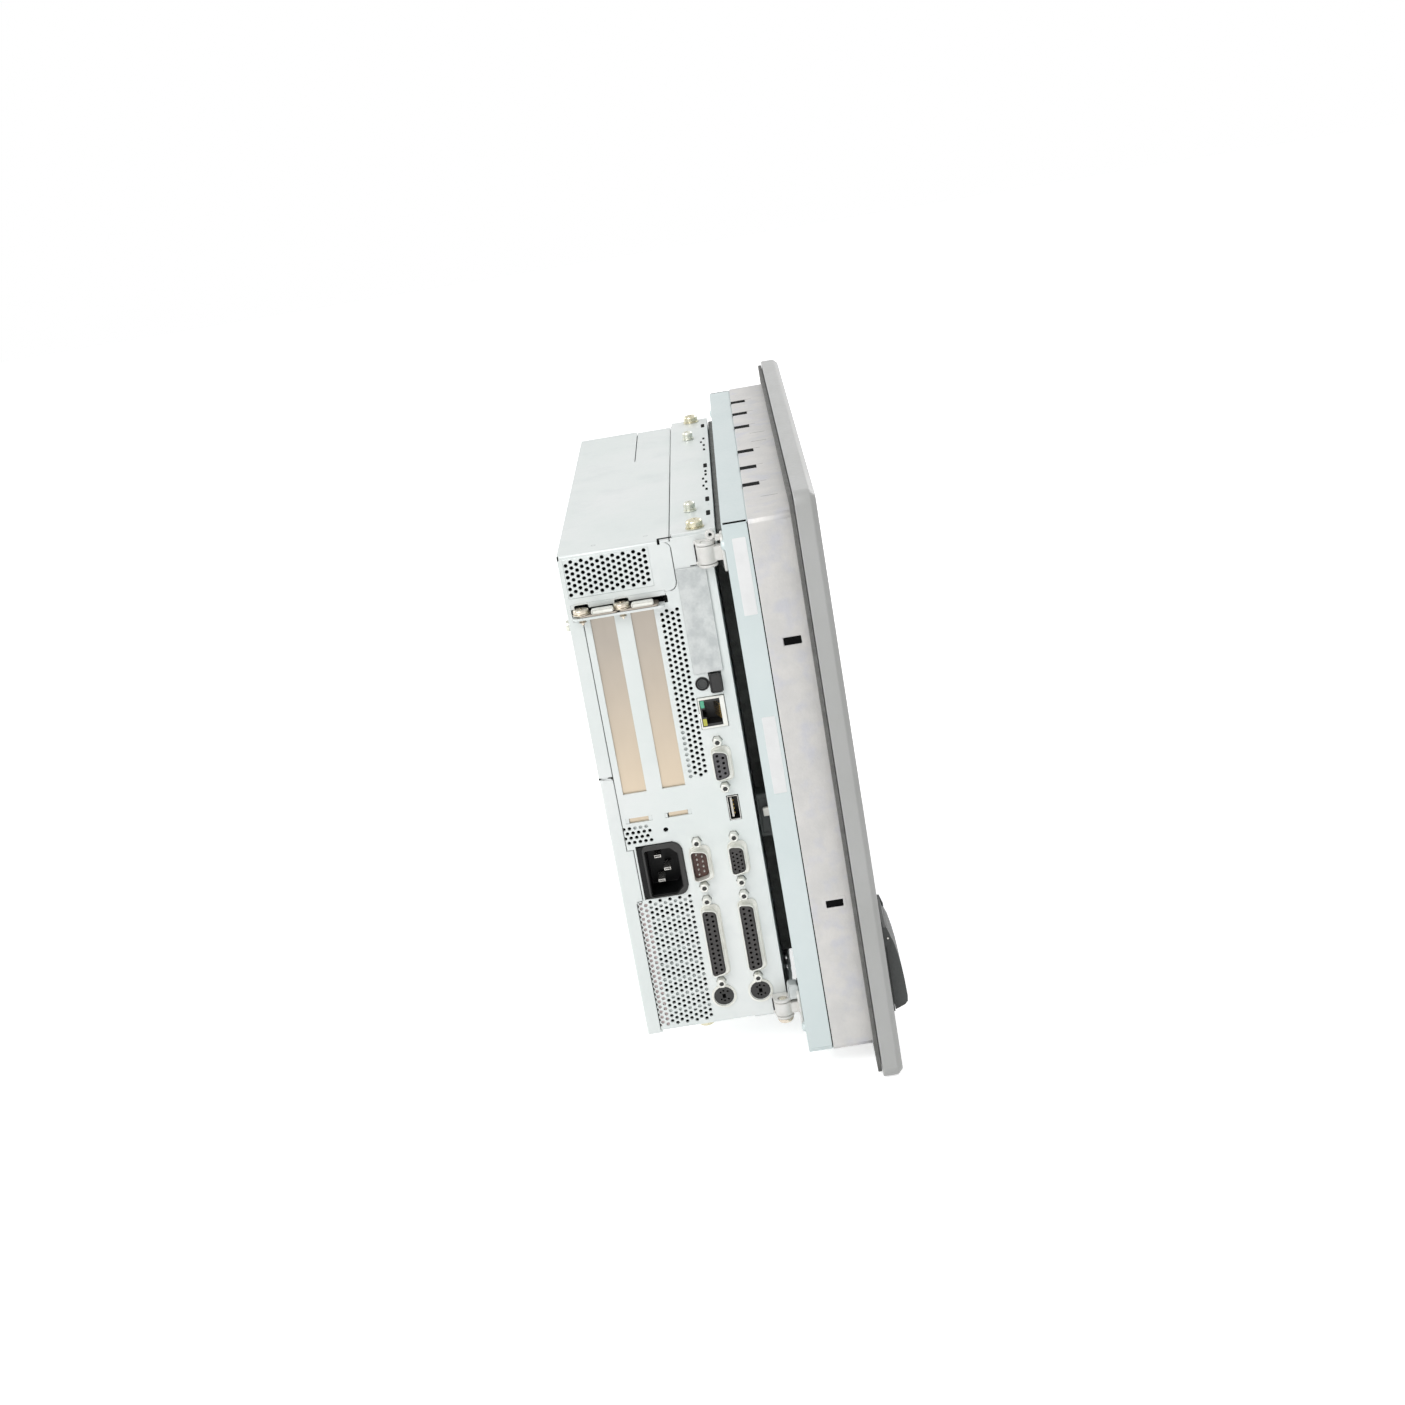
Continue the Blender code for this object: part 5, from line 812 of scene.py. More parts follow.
def addConnector(name, connector):
    front = sheetSide - 0.0045
    y, z = connector["y"], connector["z"]
    place = (front, y, z)
    plug = connector["insulator"] == "brownInsulator"  # the only male one
    size = {"height": connector["height"], "length": connector["length"], "corner": 0.0024}
    shell = sink(makeOutline(place, size, 0.012), 0.0004, 0.0075 if plug else 0.0052)
    rim = {"front": 0.0018, "rear": 0.0005, "ends": 0.0012, "proud": 0.0006, "corner": 0.0032}
    half, rise = size["length"] / 2, size["height"] / 2
    flange = addBlock(
        (sheetSide - rim["proud"], y - rise - rim["front"], z - half - rim["ends"]),
        (sheetSide + 0.0001, y + rise + rim["rear"], z + half + rim["ends"]),
    )
    roundEdges(flange, along("X"), rim["corner"], 4)
    soften(sink(flange, 0.0005, 0.0002), 0.00012, 1)
    throat = {**size, "height": size["height"] - 0.0002, "length": size["length"] - 0.0002}
    combine(flange, makeOutline(place, throat, 0.012))
    soften(shell, 0.00012, 1)
    ends = [z + side * connector["postPitch"] / 2 for side in (-1, 1)]
    posts = []
    for end in ends:
        post = addRod("X", front + 0.0004, sheetSide + 0.001, y, end, 0.0025, 6)
        sink(post, 0.0003, -0.0003)
        tip = lambda face: face.normal.x < -0.99 and face.center.x < front + 0.0002
        sink(post, 0.0007, 0.0045, faces=tip)
        posts.append(soften(post, 0.00015, 1))
    metal = join([shell, flange, *posts])
    finish(metal, name + "Shell", computer, "mattTin", (connector["node"],))
    # black rods of painted shade inside the posts' threaded holes
    holeShades = [addRod("X", front + 0.0007, front + 0.0030, y, end, 0.0014, 12) for end in ends]
    holeShades = [soften(thread, 0.0001, 1) for thread in holeShades]
    finish(join(holeShades), name + "PostHoleShades", computer, "filledPbtAndHoleShade")

    inner = {"height": size["height"] - 0.0013, "length": size["length"] - 0.0014, "corner": 0.0019}
    step = 0.0048 if plug else 0.0003
    insulator = sink(makeOutline((front + step, y, z), inner, 0.0045), 0.0004, -0.0001)
    soften(insulator, 0.00004 if plug else 0.00008, 1, 50)
    places = contactPlaces(connector)
    if not plug:
        hole = connector["hole"] / 2
        holes = [addRod("X", front - 0.001, front + 0.0035, *spot, hole, 8) for spot in places]
        combine(insulator, join(holes))
    finish(insulator, name + "Insulator", computer, connector["insulator"])
    if plug:
        pins = [addRod("X", front + 0.0028, front + 0.0052, *spot, 0.00042, 8) for spot in places]
        for pin in pins:
            roundEdges(pin, lambda a, b: max(a.x, b.x) < front + 0.003, 0.0003, 2)
        finish(join(pins), name + "Pins", computer, "mattTin")


def addConnectors():
    nine = {
        "insulator": "greyInsulator", "length": 0.0165, "height": 0.0080, "rows": (5, 4),
        "pitch": 0.00277, "rowPitch": 0.00284, "hole": 0.0015, "postPitch": 0.02499,
    }
    wide = {**nine, "length": 0.0385, "rows": (13, 12), "postPitch": 0.04704}
    dense = {**nine, "rows": (5, 5, 5), "pitch": 0.00229, "rowPitch": 0.00198, "hole": 0.0012}
    male = {**nine, "insulator": "brownInsulator", "length": 0.0176, "height": 0.0088}
    pale = {**nine, "insulator": "paleInsulator", "hole": 0.0016}
    connectors = (
        ("bus", pale, "bus_socket", "front", 0.0134),
        ("secondSerial", male, "com2_plug", "rear", -0.0388),
        ("screen", dense, "vga_socket", "front", -0.0388),
        ("firstSerial", wide, "com1_socket", "rear", -0.0826),
        ("printer", wide, "lpt_socket", "front", -0.0826),
    )
    for name, kind, node, row, z in connectors:
        addConnector(name, {**kind, "node": node, "y": connectorRows[row], "z": z})
    print("serial connectors added")


def addUsb():
    low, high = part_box("usb_socket")
    wall = 0.0004
    shell = addBlock(low, high)
    roundEdges(shell, along("X"), 0.0006, 2)
    sink(shell, wall, 0.0105)
    soften(shell, 0.0001, 1)
    finish(shell, "usbShell", computer, "nickelSteel", ("usb_socket",))
    lining = addBlock(
        (low.x + 0.0004, low.y + wall, low.z + wall), (low.x + 0.0101, high.y - wall, high.z - wall)
    )
    sink(lining, 0.0002, 0.0095)
    finish(soften(lining, 0.00005, 1), "usbLining", computer, "filledPbtAndHoleShade")
    middle = (low.y + high.y) / 2
    tongue = addBlock(
        (low.x + 0.0012, middle + 0.0002, low.z + 0.0011),
        (low.x + 0.0098, middle + 0.0018, high.z - 0.0011),
    )
    roundEdges(tongue, along("X"), 0.0003, 2)
    openMesh(tongue, faces=facing(x=-1))
    squeeze(Vector((low.x, middle + 0.001, (low.z + high.z) / 2)), y=0.7, z=0.98)
    closeMesh()
    finish(soften(tongue, 0.0001, 1), "usbTongue", computer, "naturalNylon")
    strip = addBlock(
        (low.x + 0.0018, middle - 0.0001, -0.0002), (low.x + 0.009, middle + 0.0002, 0.0006)
    )
    roundEdges(strip, along("Y"), 0.0002, 1)
    centre = (low.z + high.z) / 2 - 0.0002
    strips = [duplicate(strip, z=centre + shift) for shift in (-0.0035, -0.001, 0.001, 0.0035)]
    discard(strip)
    finish(join(strips), "usbContacts", computer, "goldContact")


def addEthernet():
    low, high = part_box("ethernet_socket")
    insert = {"front": 0.0024, "rear": 0.0006, "ends": 0.0011, "step": 0.0003, "depth": 0.0120}
    shield = addBlock(low, high)
    openLow = (low.x - 0.001, low.y + insert["front"], low.z + insert["ends"])
    openHigh = (low.x + insert["depth"], high.y - insert["rear"], high.z - insert["ends"])
    soften(shield, 0.0002)
    combine(shield, addBlock(openLow, openHigh))
    finish(shield, "ethernetShield", computer, "mattTin", ("ethernet_socket",))

    gap = 0.00005
    jack = addBlock(
        (low.x + insert["step"], openLow[1] + gap, openLow[2] + gap),
        (openHigh[0] - gap, openHigh[1] - gap, openHigh[2] - gap),
    )
    mouth = {"y": 0.0554, "width": 0.0080, "height": 0.0116, "depth": 0.0102}
    latch = {"reach": 0.0016, "height": 0.0042}
    half, rise, notch = mouth["width"] / 2, mouth["height"] / 2, latch["height"] / 2
    y, z = mouth["y"], (low.z + high.z) / 2
    front, back, top = low.x - 0.001, low.x + mouth["depth"], y + half
    soften(jack, 0.00012, 1)
    combine(jack, addBlock((front, y - half, z - rise), (back, top, z + rise)))
    key = addBlock((front, top - 0.0005, z - notch), (back, top + latch["reach"], z + notch))
    combine(jack, key)
    finish(jack, "ethernetJack", computer, "filledPbtAndHoleShade")

    lamp = {"width": 0.0021, "height": 0.0038, "proud": 0.0001}
    for name, look, end in (("linkLamp", "greenGuide", 1), ("loadLamp", "yellowGuide", -1)):
        inner = z + end * (notch + 0.0008)
        outer = inner + end * lamp["height"]
        guide = addBlock(
            (low.x + insert["step"] - lamp["proud"], top + 0.0001, min(inner, outer)),
            (low.x + insert["step"] + 0.001, top + lamp["width"], max(inner, outer)),
        )
        roundEdges(guide, along("X"), 0.0003, 2)
        finish(soften(guide, 0.0001, 1), name, computer, look)
    wires = []
    pitch, wire = 0.00102, 0.00018
    for i in range(8):
        rise = z + (i - 3.5) * pitch
        spring = addRod("X", low.x + 0.0012, low.x + 0.0095, 0, rise, wire, 6)
        openMesh(spring, faces=facing(x=1))
        bpy.ops.transform.translate(value=(0, 0.0030, 0))
        closeMesh()
        wires.append(shifted(spring, y=y - half + 0.0006))
    finish(join(wires), "ethernetSprings", computer, "goldContact")


def addRoundSockets():
    # mini-DIN sockets: black insert with six holes and a key, in a bright ring
    size = {"insert": 0.0053, "ring": 0.0066, "proud": 0.0007, "hole": 0.00055}
    reaches = {35: 0.0027, 145: 0.0027, 0: 0.0031, 180: 0.0031, -42: 0.0033, 222: 0.0033}
    front, z = sheetSide - size["proud"], -0.1148
    near, far = front - 0.001, front + 0.005
    for name, row in (("mouse", "rear"), ("keyboard", "front")):
        y = connectorRows[row]
        ring = addRod("X", front, sheetSide + 0.007, y, z, size["ring"], 40)
        openMesh(ring, faces=facing(x=-1))
        for wall, depth in ((0.0006, -0.0003), (0.0005, 0.0060)):
            bpy.ops.mesh.inset(thickness=wall)
            push(x=depth)
        closeMesh()
        finish(soften(ring, 0.00015), name + "Ring", computer, "mattTin")
        insert = addRod("X", front + 0.0007, front + 0.0065, y, z, size["insert"])
        holes = []
        for angle, reach in reaches.items():
            turn = math.radians(angle)
            spot = (y + reach * math.sin(turn), z + reach * math.cos(turn) * 0.9)
            holes.append(addRod("X", near, far, *spot, size["hole"], 10))
        key = addBlock((near, y - 0.0009, z - 0.0014), (far, y + 0.0009, z + 0.0010))
        soften(insert, 0.0001, 1, 50)
        combine(insert, join([*holes, key]))
        finish(insert, name + "Insert", computer, "filledPbtAndHoleShade", (name + "_socket",))


def addInlet():
    # mains inlet: charcoal rim with a lower shoulder to the rear, black keyed recess, three blades
    low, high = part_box("power_inlet")
    middle = Vector((low.x, (low.y + high.y) / 2, (low.z + high.z) / 2))
    rimEnd = 0.1042
    rim = addBlock(low, (low.x + 0.0025, rimEnd, high.z))
    roundEdges(rim, lambda a, b: along("X")(a, b) and a.y < middle.y, 0.0046, 5)
    roundEdges(rim, lambda a, b: along("X")(a, b) and a.y > rimEnd - 0.0002, 0.0026, 4)
    shoulder = addBlock(
        (low.x + 0.0010, rimEnd - 0.006, low.z + 0.0004),
        (low.x + 0.0025, high.y - 0.0003, high.z - 0.0004),
    )
    roundEdges(shoulder, lambda a, b: along("X")(a, b) and a.y > rimEnd, 0.0012, 2)
    mouth = {"low": (0.0864, -0.0525), "high": (0.1028, -0.0275), "corner": 0.0036, "depth": 0.0165}
    (yLow, zLow), (yHigh, zHigh) = mouth["low"], mouth["high"]
    cutter = addBlock((low.x - 0.001, yLow, zLow), (low.x + 0.003, yHigh, zHigh))
    roundEdges(cutter, lambda a, b: along("X")(a, b) and a.y < middle.y, mouth["corner"], 1)
    roundEdges(cutter, lambda a, b: along("X")(a, b) and a.y > middle.y + 0.005, 0.0011)
    openMesh(cutter, faces=facing(x=-1))
    squeeze(middle, y=1.07, z=1.045)  # the mouth flares outwards
    closeMesh()
    combine(soften(shoulder, 0.0003), duplicate(cutter))
    combine(soften(rim, 0.0005, 3, 40), cutter)
    # the shoulder and the well take the blacker PBT as painted shade
    finish(shoulder, "inletShoulder", computer, "recessShadePbt")
    finish(rim, "inletRim", computer, "filledPbtAndHoleShade", ("power_inlet",))

    wall = 0.0010
    well = addBlock(
        (low.x + 0.0012, yLow - wall, zLow - wall),
        (low.x + mouth["depth"] + 0.002, yHigh + wall, zHigh + wall),
    )
    roundEdges(well, lambda a, b: along("X")(a, b) and a.y < middle.y, mouth["corner"] + 0.0004, 1)
    sink(well, wall + 0.00005, mouth["depth"])
    finish(soften(well, 0.0003), "inletWell", computer, "recessShadePbt")

    blade = {"wide": 0.0036, "thick": 0.0016, "spread": 0.0068, "offset": 0.0020, "tip": 0.0062}
    half, thick = blade["wide"] / 2, blade["thick"] / 2
    blades = []
    for side, z in ((1, -blade["spread"]), (1, blade["spread"]), (-1, -0.0008)):
        y = (yLow + yHigh) / 2 + 0.0004 + side * blade["offset"]
        rise = (zLow + zHigh) / 2 + z
        piece = addBlock(
            (low.x + blade["tip"], y - half, rise - thick),
            (low.x + mouth["depth"], y + half, rise + thick),
        )
        openMesh(piece, faces=facing(x=-1))
        bpy.ops.mesh.inset(thickness=0.0004)
        push(x=-0.0009)
        squeeze(Vector((low.x, y, rise)), y=0.75, z=0.5)
        closeMesh()
        blades.append(soften(piece, 0.00015))
    finish(join(blades), "inletBlades", computer, "nickelSteel")


def addButtons():
    # card eject button: a deep frame with a sunk face
    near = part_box("card_eject_button")[0].x
    eject = addBlock((near, 0.0487, 0.0517), (sheetSide + 0.001, 0.0547, 0.0617))
    roundEdges(eject, along("X"), 0.0009)
    sink(eject, 0.0006, 0.0005)
    soften(eject, 0.00012, 1, 50)
    finish(eject, "ejectButton", "card_eject", "filledPbtAndHoleShade", ("card_eject_button",))
    # reset button: a small dished knob in a raised ring
    y, z = 0.0586, 0.0567
    knob = addRod("X", sheetSide - 0.0008, sheetSide + 0.002, y, z, 0.0027, 28)
    sink(knob, 0.0007, 0.0004)
    soften(knob, 0.0002)
    finish(knob, "resetButton", "reset", "texturedAbs", ("reset_button",))
    ring = addRod("X", sheetSide - 0.0004, sheetSide + 0.0005, y, z, 0.0036)
    sink(ring, 0.0006, 0.0009)
    finish(soften(ring, 0.00012, 1), "resetRing", computer, "filledPbtAndHoleShade")


addVentShades()
addSeamMarks()
addGapShadesAndCableClamp()
addConnectors()
addUsb()
addEthernet()
addRoundSockets()
addInlet()
addButtons()
print("port side filled")


def makeScrew(screw):
    # a pan head with a crossed recess on a spring washer and a flat washer, standing along +Z
    radius, top, headLow = screw["radius"], screw["height"], screw["washer"] * 2
    washer = soften(addRod("Z", 0, screw["washer"], 0, 0, screw["washerRadius"]), 0.0002)
    spring = soften(addRod("Z", screw["washer"], headLow, 0, 0, radius * 0.98), 0.00025)
    head = addRod("Z", headLow, top, 0, 0, radius)
    rise = top - headLow
    roundEdges(head, lambda a, b: min(a.z, b.z) > top - 0.0001, rise * 0.55, 5)
    arm, slot = radius * 0.52, radius * 0.11
    deep = top - rise * 0.5
    cross = [addBlock((-x, -y, deep), (x, y, top + 0.001)) for x, y in ((arm, slot), (slot, arm))]
    for part in cross:
        openMesh(part, faces=facing(z=-1))
        squeeze(Vector((0, 0, deep)), x=0.45, y=0.45)
        closeMesh()
        combine(head, part)
    activate(head)
    bpy.ops.object.shade_smooth_by_angle(angle=math.radians(35))
    parts = [washer, spring, head]
    if "shaft" in screw:
        pitch = 0.0008
        shaft = addRod("Z", -screw["shaft"], 0.0002, 0, 0, 0.0015, 16)
        openMesh(shaft, faces=facing(z=-1))
        squeeze(Vector((0, 0, 0)), x=0.45, y=0.45)
        closeMesh()
        thread = addRod("Z", -0.00035, 0, 0, 0, 0.0019, 16)
        roundEdges(thread, lambda a, b: abs(a.z - b.z) < 0.00001, 0.00015, 1)
        count = int(screw["shaft"] / pitch) - 2
        turns = [duplicate(thread, z=-pitch * (i + 1)) for i in range(count)]
        discard(thread)
        parts += [shaft, *turns]
    return join(parts)


def addScrews():
    large = {
        "washer": 0.0006, "washerRadius": 0.0048, "radius": 0.0042, "height": 0.0044,
        "look": "strawZinc",
    }
    small = {
        "washer": 0.0009, "washerRadius": 0.0034, "radius": 0.0030, "height": 0.0050,
        "look": "paleZinc",
    }
    flat = {**small, "washer": 0.0003, "washerRadius": 0.0031, "radius": 0.0029, "height": 0.0022}
    slot = {
        "washer": 0.0005, "washerRadius": 0.0044, "radius": 0.0040, "height": 0.0027,
        "look": "yellowZinc", "shaft": 0.0056,
    }
    low = {**large, "height": 0.0031, "washer": 0.0003}
    proud = 0.0001
    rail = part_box("top_rail")[1].z + proud
    tabTop = 0.1018 + slotLedge["rise"]
    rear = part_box("top_cover")[1].y + proud
    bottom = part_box("chassis")[0].z - proud
    upright, backwards, downwards = (0, 0, 0.5), (-math.pi / 2, 0.4, 0), (math.pi, 0, 0)
    screws = (
        ("railScrewLeft", "rail_screw_left", (-0.1485, 0.0493, rail), upright, large),
        ("railScrewRight", "rail_screw_right", (0.1340, 0.0493, rail), upright, large),
        ("railScrewInnerLeft", "rail_screw_inner_left", (-0.1100, 0.0514, rail), upright, small),
        ("railScrewInnerRight", "rail_screw_inner_right", (0.0800, 0.0514, rail), upright, small),
        ("topCoverScrew", "top_cover_screw", (-0.1503, rear, 0.0959), backwards, flat),
        ("bottomScrew", "bottom_screw", (-0.1500, 0.0872, bottom), downwards, low),
        ("slotScrewRear", "slot_screw_1", (-0.1595, 0.1115, tabTop), upright, slot),
        ("slotScrewFront", "slot_screw_2", (-0.1595, 0.0912, tabTop), upright, slot),
    )
    for name, node, place, turn, screw in screws:
        piece = makeScrew(screw)
        piece.rotation_euler = turn
        finish(shifted(piece, *place), name, computer, screw["look"], (node,))
    print("screws added")


def addSlotHardware():
    lip = {"length": 0.0112, "low": 0.1031, "high": 0.1056, "front": -0.1636, "back": -0.1604}
    for number, rear in ((1, 0.1063), (2, 0.0863)):
        node = f"slot_cover_{number}"
        cover = lift(copyNode(node), slotLedge["low"], 0.110, slotLedge["rise"])
        soften(cover, 0.0002, 1)
        finish(cover, f"slotCover{number}", computer, "slotSteel", (node,))
        near = (lip["front"], rear - lip["length"], lip["low"])
        far = (lip["back"], rear, lip["high"])
        hem = roundEdges(addBlock(near, far), along("X"), 0.0011, 4)
        soften(sink(hem, 0.0005, 0.0003), 0.0004, 3)
        finish(hem, f"slotLip{number}", computer, "mattTin")
    print("slot hardware added")


def addLabels():
    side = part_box("rear_frame")[0].x
    label = {"thick": 0.00012, "front": 0.0252, "rear": 0.0318, "corner": 0.0006}
    near, far = side - label["thick"], side - 0.00001
    for name, low, high in (("upperLabel", 0.0950, 0.1340), ("lowerLabel", 0.0020, 0.0425)):
        piece = addBlock((near, label["front"], low), (far, label["rear"], high))
        soften(roundEdges(piece, along("X"), label["corner"]), 0.00004, 1)
        finish(piece, name, operator, "labelPaper")


def addFrameDetails():
    low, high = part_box("rear_frame")
    front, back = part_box("cast_housing")
    side, rear, top = front.x, back.y, back.z
    # black strips of painted shade in the rear frame's upper corner slits, pale shims in all of
    # them
    strips = (
        ("slitShadeStrips", "paintedShadeBlack", 0.1413, 0.00075),
        ("upperSlitShims", "thickSheet", 0.1400, 0.0010),
        ("slitShims", "thickSheet", -0.1408, 0.0006),
    )
    proud, thick = 0.00004, 0.0012
    ends = (low.x - proud, high.x + proud - thick)
    for name, look, z, rise in strips:
        slits = [((x, low.y + 0.0004, z), (x + thick, 0.0350, z + rise)) for x in ends]
        addBlocks(name, operator, look, slits, "Y", 0.0001)
    # between the frame and the casting: a black line of painted seam shade on the sides, a pale one
    # above and below
    sides = (
        ((low.x - 0.0003, rear, low.z + 0.002), (low.x + 0.001, low.y + 0.0002, high.z - 0.002)),
        ((high.x - 0.001, rear, low.z + 0.002), (high.x + 0.0003, low.y + 0.0002, high.z - 0.002)),
    )
    addBlocks("frameSeal", operator, "paintedShadeBlack", sides, "Z", 0.0001)
    ends = (
        ((low.x + 0.001, rear, high.z - 0.0010), (high.x - 0.001, low.y, high.z - 0.0001)),
        ((low.x + 0.001, rear, low.z + 0.0001), (high.x - 0.001, low.y, low.z + 0.0010)),
    )
    addBlocks("frameShims", operator, "thickSheet", ends, "X", 0.0001)
    # black blocks of painted shade in the casting's notches, and in its two clamp slots
    notches = (-0.1098, -0.0677, -0.0238, 0.0476, 0.0897, 0.1299)
    fillBlocks = [
        ((x - 0.0036, 0.01435, z), (x + 0.0036, 0.0231, z + 0.0030))
        for x in notches
        for z in (0.1401, -0.1431)
    ]
    clamps = [
        ((side + 0.0005, 0.0061, z - 0.0022), (side + 0.0018, 0.0153, z + 0.0022))
        for z in (0.0792, -0.0610)
    ]
    blocks = roundBlocks(fillBlocks, "Z", 0.0003) + roundBlocks(clamps, "X", 0.0003)
    finish(join(blocks), "notchShades", operator, "paintedShadeBlack")
    # painted shade of the mould grooves as dark strips on the casting's upper face, and the raised
    # frame round the lower clamp slot
    under, over = top - 0.0005, top + 0.00005
    long, short = (0.0240, -0.0006, -0.1415), notches
    lines = [((x - 0.0004, 0.0063, under), (x + 0.0004, 0.0148, over)) for x in long]
    lines += [((x + 0.0040, 0.0105, under), (x + 0.0046, 0.0190, over)) for x in short]
    addBlocks("mouldGrooveShades", operator, "mouldGrooveShade", lines, "Y", 0.00004)
    ring = addBlock((side - 0.0001, 0.0048, -0.0646), (side + 0.0005, 0.0166, -0.0574))
    soften(roundEdges(ring, along("X"), 0.0008), 0.00005, 1)
    combine(ring, addBlock((side - 0.001, 0.0063, -0.0630), (side + 0.001, 0.0151, -0.0590)))
    finish(ring, "clampSlotRim", operator, "castAluminium")
    # the hinge brackets' eye above the upper barrel and boss above the lower one
    eyePlace = (0.0422, 0.1339)
    eye = soften(addRod("X", -0.1668, -0.1640, *eyePlace, 0.0024), 0.0003)
    combine(eye, addRod("X", -0.1690, -0.1620, *eyePlace, 0.0011, 24))
    web = addBlock((-0.1664, 0.0365, 0.1305), (-0.1644, 0.0402, 0.1335))
    roundEdges(web, along("X"), 0.0004, 2)
    finish(join([eye, soften(web, 0.0003)]), "hingeEye", operator, "castZinc")
    boss = addBlock((-0.1662, 0.0363, -0.1184), (-0.1592, 0.0420, -0.1102))
    roundEdges(boss, lambda a, b: along("X")(a, b) and a.z > -0.111, 0.0016, 5)
    soften(sink(boss, 0.0006, 0.0003), 0.0003)
    finish(boss, "hingeBoss", operator, "galvanisedSheet")
    # painted shade: a black strip along the boss's front edge
    shadeStrip = ((-0.1659, 0.03595, -0.1190), (-0.1592, 0.0366, -0.1098))
    addBlocks("bossShadeStrip", operator, "paintedShadeBlack", (shadeStrip,))
    print("frame details added")


def addRailSlotFillsAndShades():
    # the slots on the rails' folds: closed on the upper rail, where black ovals of painted shade
    # lie on the fold, and filled with black painted shade on the lower rail
    low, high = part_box("top_rail")
    shares = (0.06, 0.17, 0.25, 0.33, 0.37, 0.41, 0.46, 0.54, 0.71, 0.78, 0.82, 0.95)
    middles = [high.x - share * (high.x - low.x) for share in shares]
    for name, look, side in (("railFillers", "passivatedSheet", 1), ("lowerRailSlotShades", "paintedShadeBlack", -1)):
        bottom, top = sorted((side * 0.1324, side * 0.13446))
        near, far = low.y + 0.00004, low.y + 0.0023
        fillBlocks = [((x - 0.00255, near, bottom), (x + 0.00255, far, top)) for x in middles]
        addBlocks(name, computer, look, fillBlocks, "Z", 0.0001)
    # half a slot's length, its width, its front edge and the slots' middles
    rows = (
        (0.0055, 0.0021, 0.0412, (0.1168, -0.0028, -0.0885, -0.1205)),
        (0.0028, 0.0013, 0.0416, (0.0760, 0.0560, 0.0430, -0.0180, -0.0270, -0.0460, -0.0640)),
        (0.0026, 0.0012, 0.0432, (0.0660, -0.0370, -0.0550)),
    )
    # black ovals of painted shade over the upper rail's slots
    ovals = []
    for half, width, near, places in rows:
        boxes = [((x - half, near, 0.1342), (x + half, near + width, 0.13454)) for x in places]
        ovals += roundBlocks(boxes, "Z", width * 0.48, 4)
    finish(join(ovals), "railSlots", computer, "paintedShadeBlack")


def addScreenSurround():
    # the printed border of the screen, a thin step on the film
    low, high = (-0.1250, -0.0945), (0.1250, 0.0945)  # the screen's window
    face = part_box("front_film")[0].y
    border = {"width": 0.0085, "thick": 0.00008, "corner": 0.0045}
    wide = border["width"]
    ring = addBlock(
        (low[0] - wide, face - border["thick"], low[1] - wide),
        (high[0] + wide, face + 0.00002, high[1] + wide),
    )
    roundEdges(ring, along("Y"), border["corner"], 6)
    soften(ring, 0.00003, 1, 50)
    combine(ring, addBlock((low[0], face - 0.001, low[1]), (high[0], face + 0.001, high[1])))
    finish(ring, "screenSurround", operator, "printedFilm")
    print("screen surround added")


addRailSlotFillsAndShades()
addScreenSurround()
addScrews()
addSlotHardware()
addLabels()
addFrameDetails()


# nodes that keep their CAD mesh and only get their material
plain = {
    "coatedGlass": "touch_screen",
    "extrudedAluminium": "hard_disk cpu_heatsink",
    "filledPbtAndHoleShade": "fan_frame fan_rotor",
    "galvanisedSheet": "display_panel power_supply",
    "maskedBoard": "backlight_inverter motherboard riser_card",
    "nickelSteel": "port_cover_pin front_usb_socket",
    "polyesterFilm": "front_film",
    "texturedAbs": "port_frame front_port_cover",
}
for look, names in plain.items():
    for node in names.split():
        nodes[node].data.materials.clear()
        nodes[node].data.materials.append(materials[look])


def seenDirectly(owner):
    # 1 for what the camera sees, also in a mirror or through glass, and 0 for light on its way
    rays = addNode(owner, "ShaderNodeLightPath").outputs
    share = rays["Is Camera Ray"]
    for name in ("Is Glossy Ray", "Is Transmission Ray"):
        sockets = {0: share, 1: rays[name]}
        share = addNode(owner, "ShaderNodeMath", sockets, operation="MAXIMUM").outputs[0]
    return share


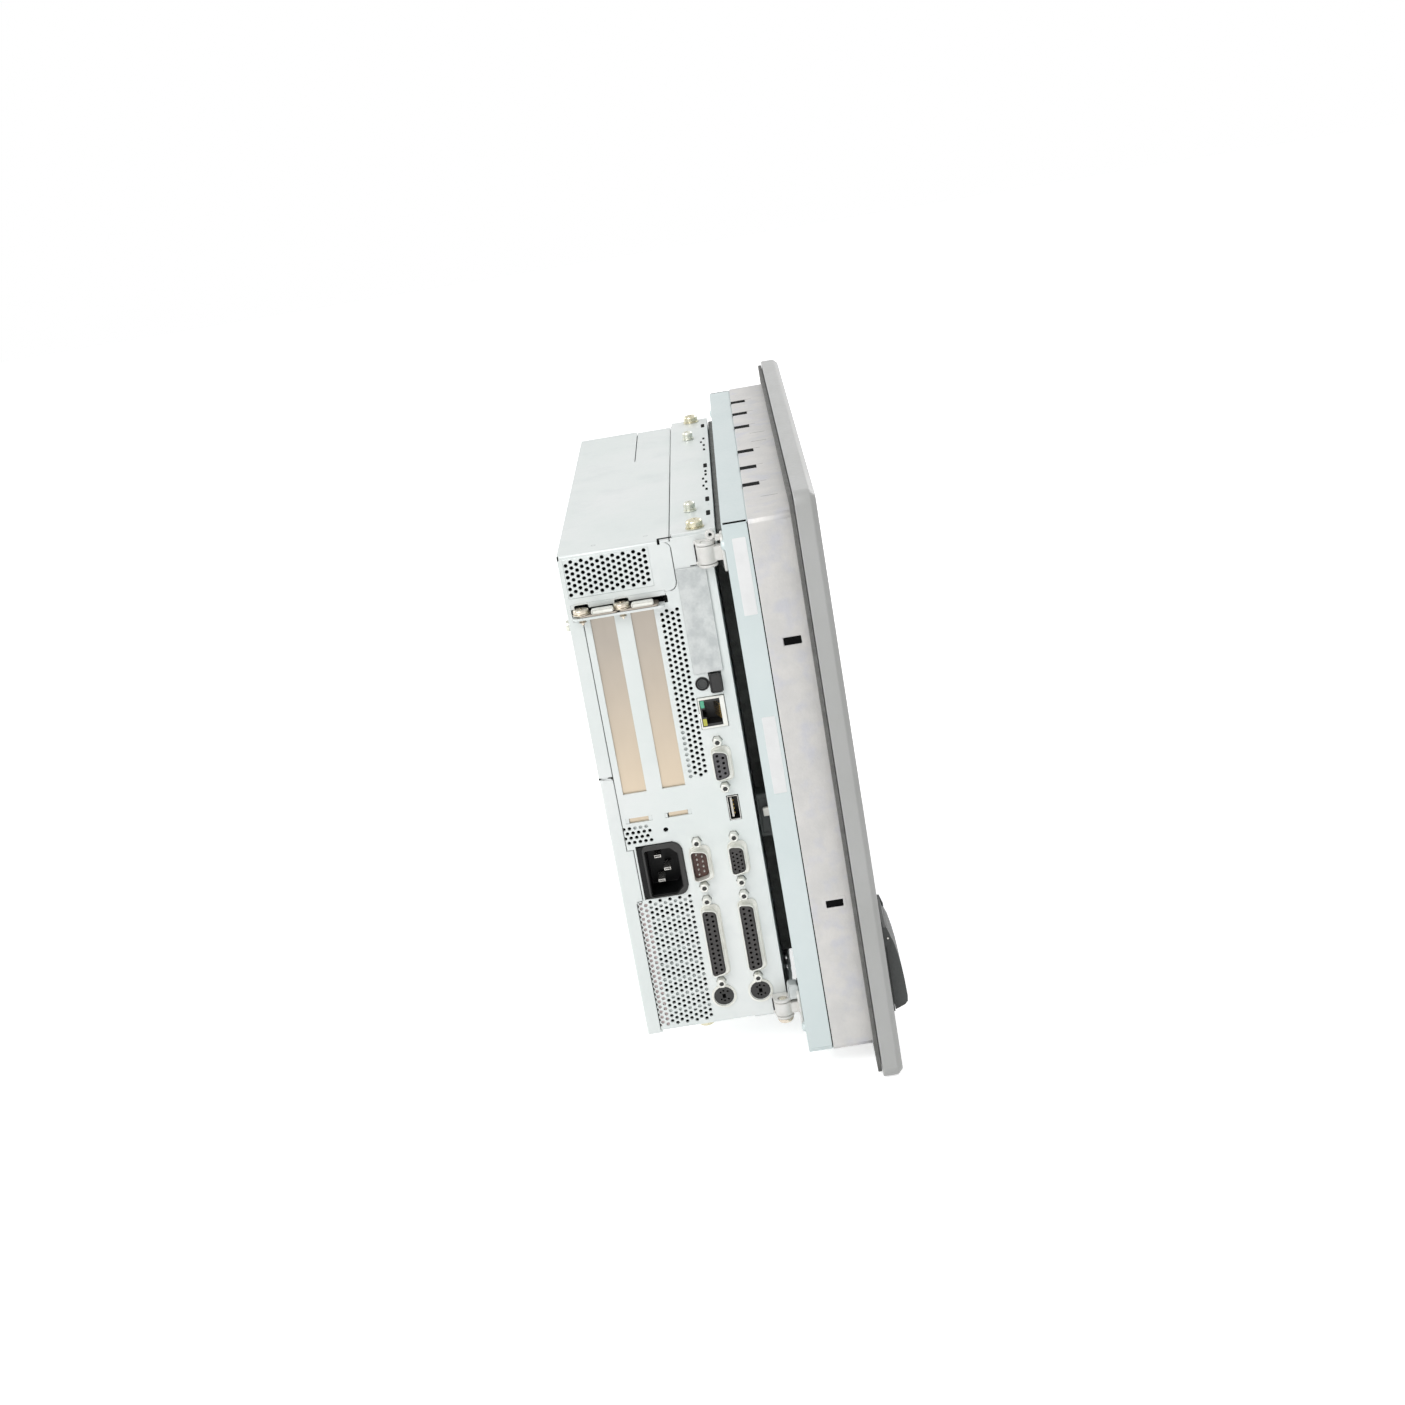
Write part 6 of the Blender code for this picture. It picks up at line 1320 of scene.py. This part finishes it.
def addStage():
    # a pale floor that fades into the white background and keeps a soft shadow
    pale = {"size": 8, "colour": (0.9, 0.9, 0.9, 1), "roughness": 0.9, "lift": 0.62}
    white = (1, 1, 1, 1)
    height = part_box("front_bezel")[0].z
    bpy.ops.mesh.primitive_plane_add(size=pale["size"], location=(0, 0, height))
    floor = settle(bpy.context.object)
    floor.name = "floor"
    material = bpy.data.materials.new("pale floor")
    material.use_nodes = True
    tree = material.node_tree
    shader = tree.nodes["Principled BSDF"]
    shader.inputs["Base Color"].default_value = pale["colour"]
    shader.inputs["Roughness"].default_value = pale["roughness"]
    strength = {0: seenDirectly(material), 1: pale["lift"]}
    lifted = addNode(material, "ShaderNodeMath", strength, operation="MULTIPLY").outputs[0]
    glow = addNode(material, "ShaderNodeEmission", {"Color": white, "Strength": lifted})
    both = addNode(material, "ShaderNodeAddShader", {0: shader.outputs[0], 1: glow.outputs[0]})
    tree.links.new(both.outputs[0], tree.nodes["Material Output"].inputs["Surface"])
    floor.data.materials.append(material)

    # the white background lights the part at half its strength
    world = bpy.data.worlds.new("studio")
    bpy.context.scene.world = world
    world.use_nodes = True
    world.node_tree.nodes.clear()
    lit, shown = (
        addNode(world, "ShaderNodeBackground", {"Color": white, "Strength": strength}).outputs[0]
        for strength in (0.5, 1)
    )
    sockets = {0: seenDirectly(world), 1: lit, 2: shown}
    mix = addNode(world, "ShaderNodeMixShader", sockets).outputs[0]
    addNode(world, "ShaderNodeOutputWorld", {"Surface": mix})


def addLamp(name, place, size, power):
    bpy.ops.object.light_add(type="AREA", location=place)
    lamp = bpy.context.object
    lamp.name = name
    lamp.data.shape = "DISK"
    lamp.data.size = size
    lamp.data.energy = power
    aim = Vector((0, 0.05, 0)) - Vector(place)
    lamp.rotation_euler = aim.to_track_quat("-Z", "Y").to_euler()


def addCamera():
    # found from the corners and standard parts in the photograph
    view = {
        "target": (0, 0.06664, -0.00336),
        "distance": 1.2379,
        "azimuth": math.radians(-87.62),
        "elevation": math.radians(17.81),
        "roll": math.radians(-9.94),
        "lens": 54.73,
        "sensor": 36,
    }
    outward = Vector(
        (
            math.sin(view["azimuth"]) * math.cos(view["elevation"]),
            -math.cos(view["azimuth"]) * math.cos(view["elevation"]),
            math.sin(view["elevation"]),
        )
    )
    bpy.ops.object.camera_add(location=Vector(view["target"]) + outward * view["distance"])
    camera = bpy.context.object
    turn = (-outward).to_track_quat("-Z", "Y").to_matrix()
    right = turn.col[0] * math.cos(view["roll"]) + turn.col[1] * math.sin(view["roll"])
    up = turn.col[1] * math.cos(view["roll"]) - turn.col[0] * math.sin(view["roll"])
    for row in range(3):
        turn[row][0] = right[row]
        turn[row][1] = up[row]
    camera.rotation_euler = turn.to_euler()
    camera.data.lens = view["lens"]
    camera.data.sensor_width = view["sensor"]
    bpy.context.scene.camera = camera


addStage()
addLamp("keyLamp", (-1.5, 1.1, 1.6), 1.4, 26)
addLamp("rearLamp", (0.9, 1.6, 0.9), 1.2, 8)
addLamp("frontLamp", (1.4, -1.2, 0.8), 1.2, 14)
addLamp("fillLamp", (-0.75, 0.12, 0.62), 0.5, 0.25)
addCamera()
bpy.context.scene.view_settings.view_transform = "Standard"

print("scene finished")
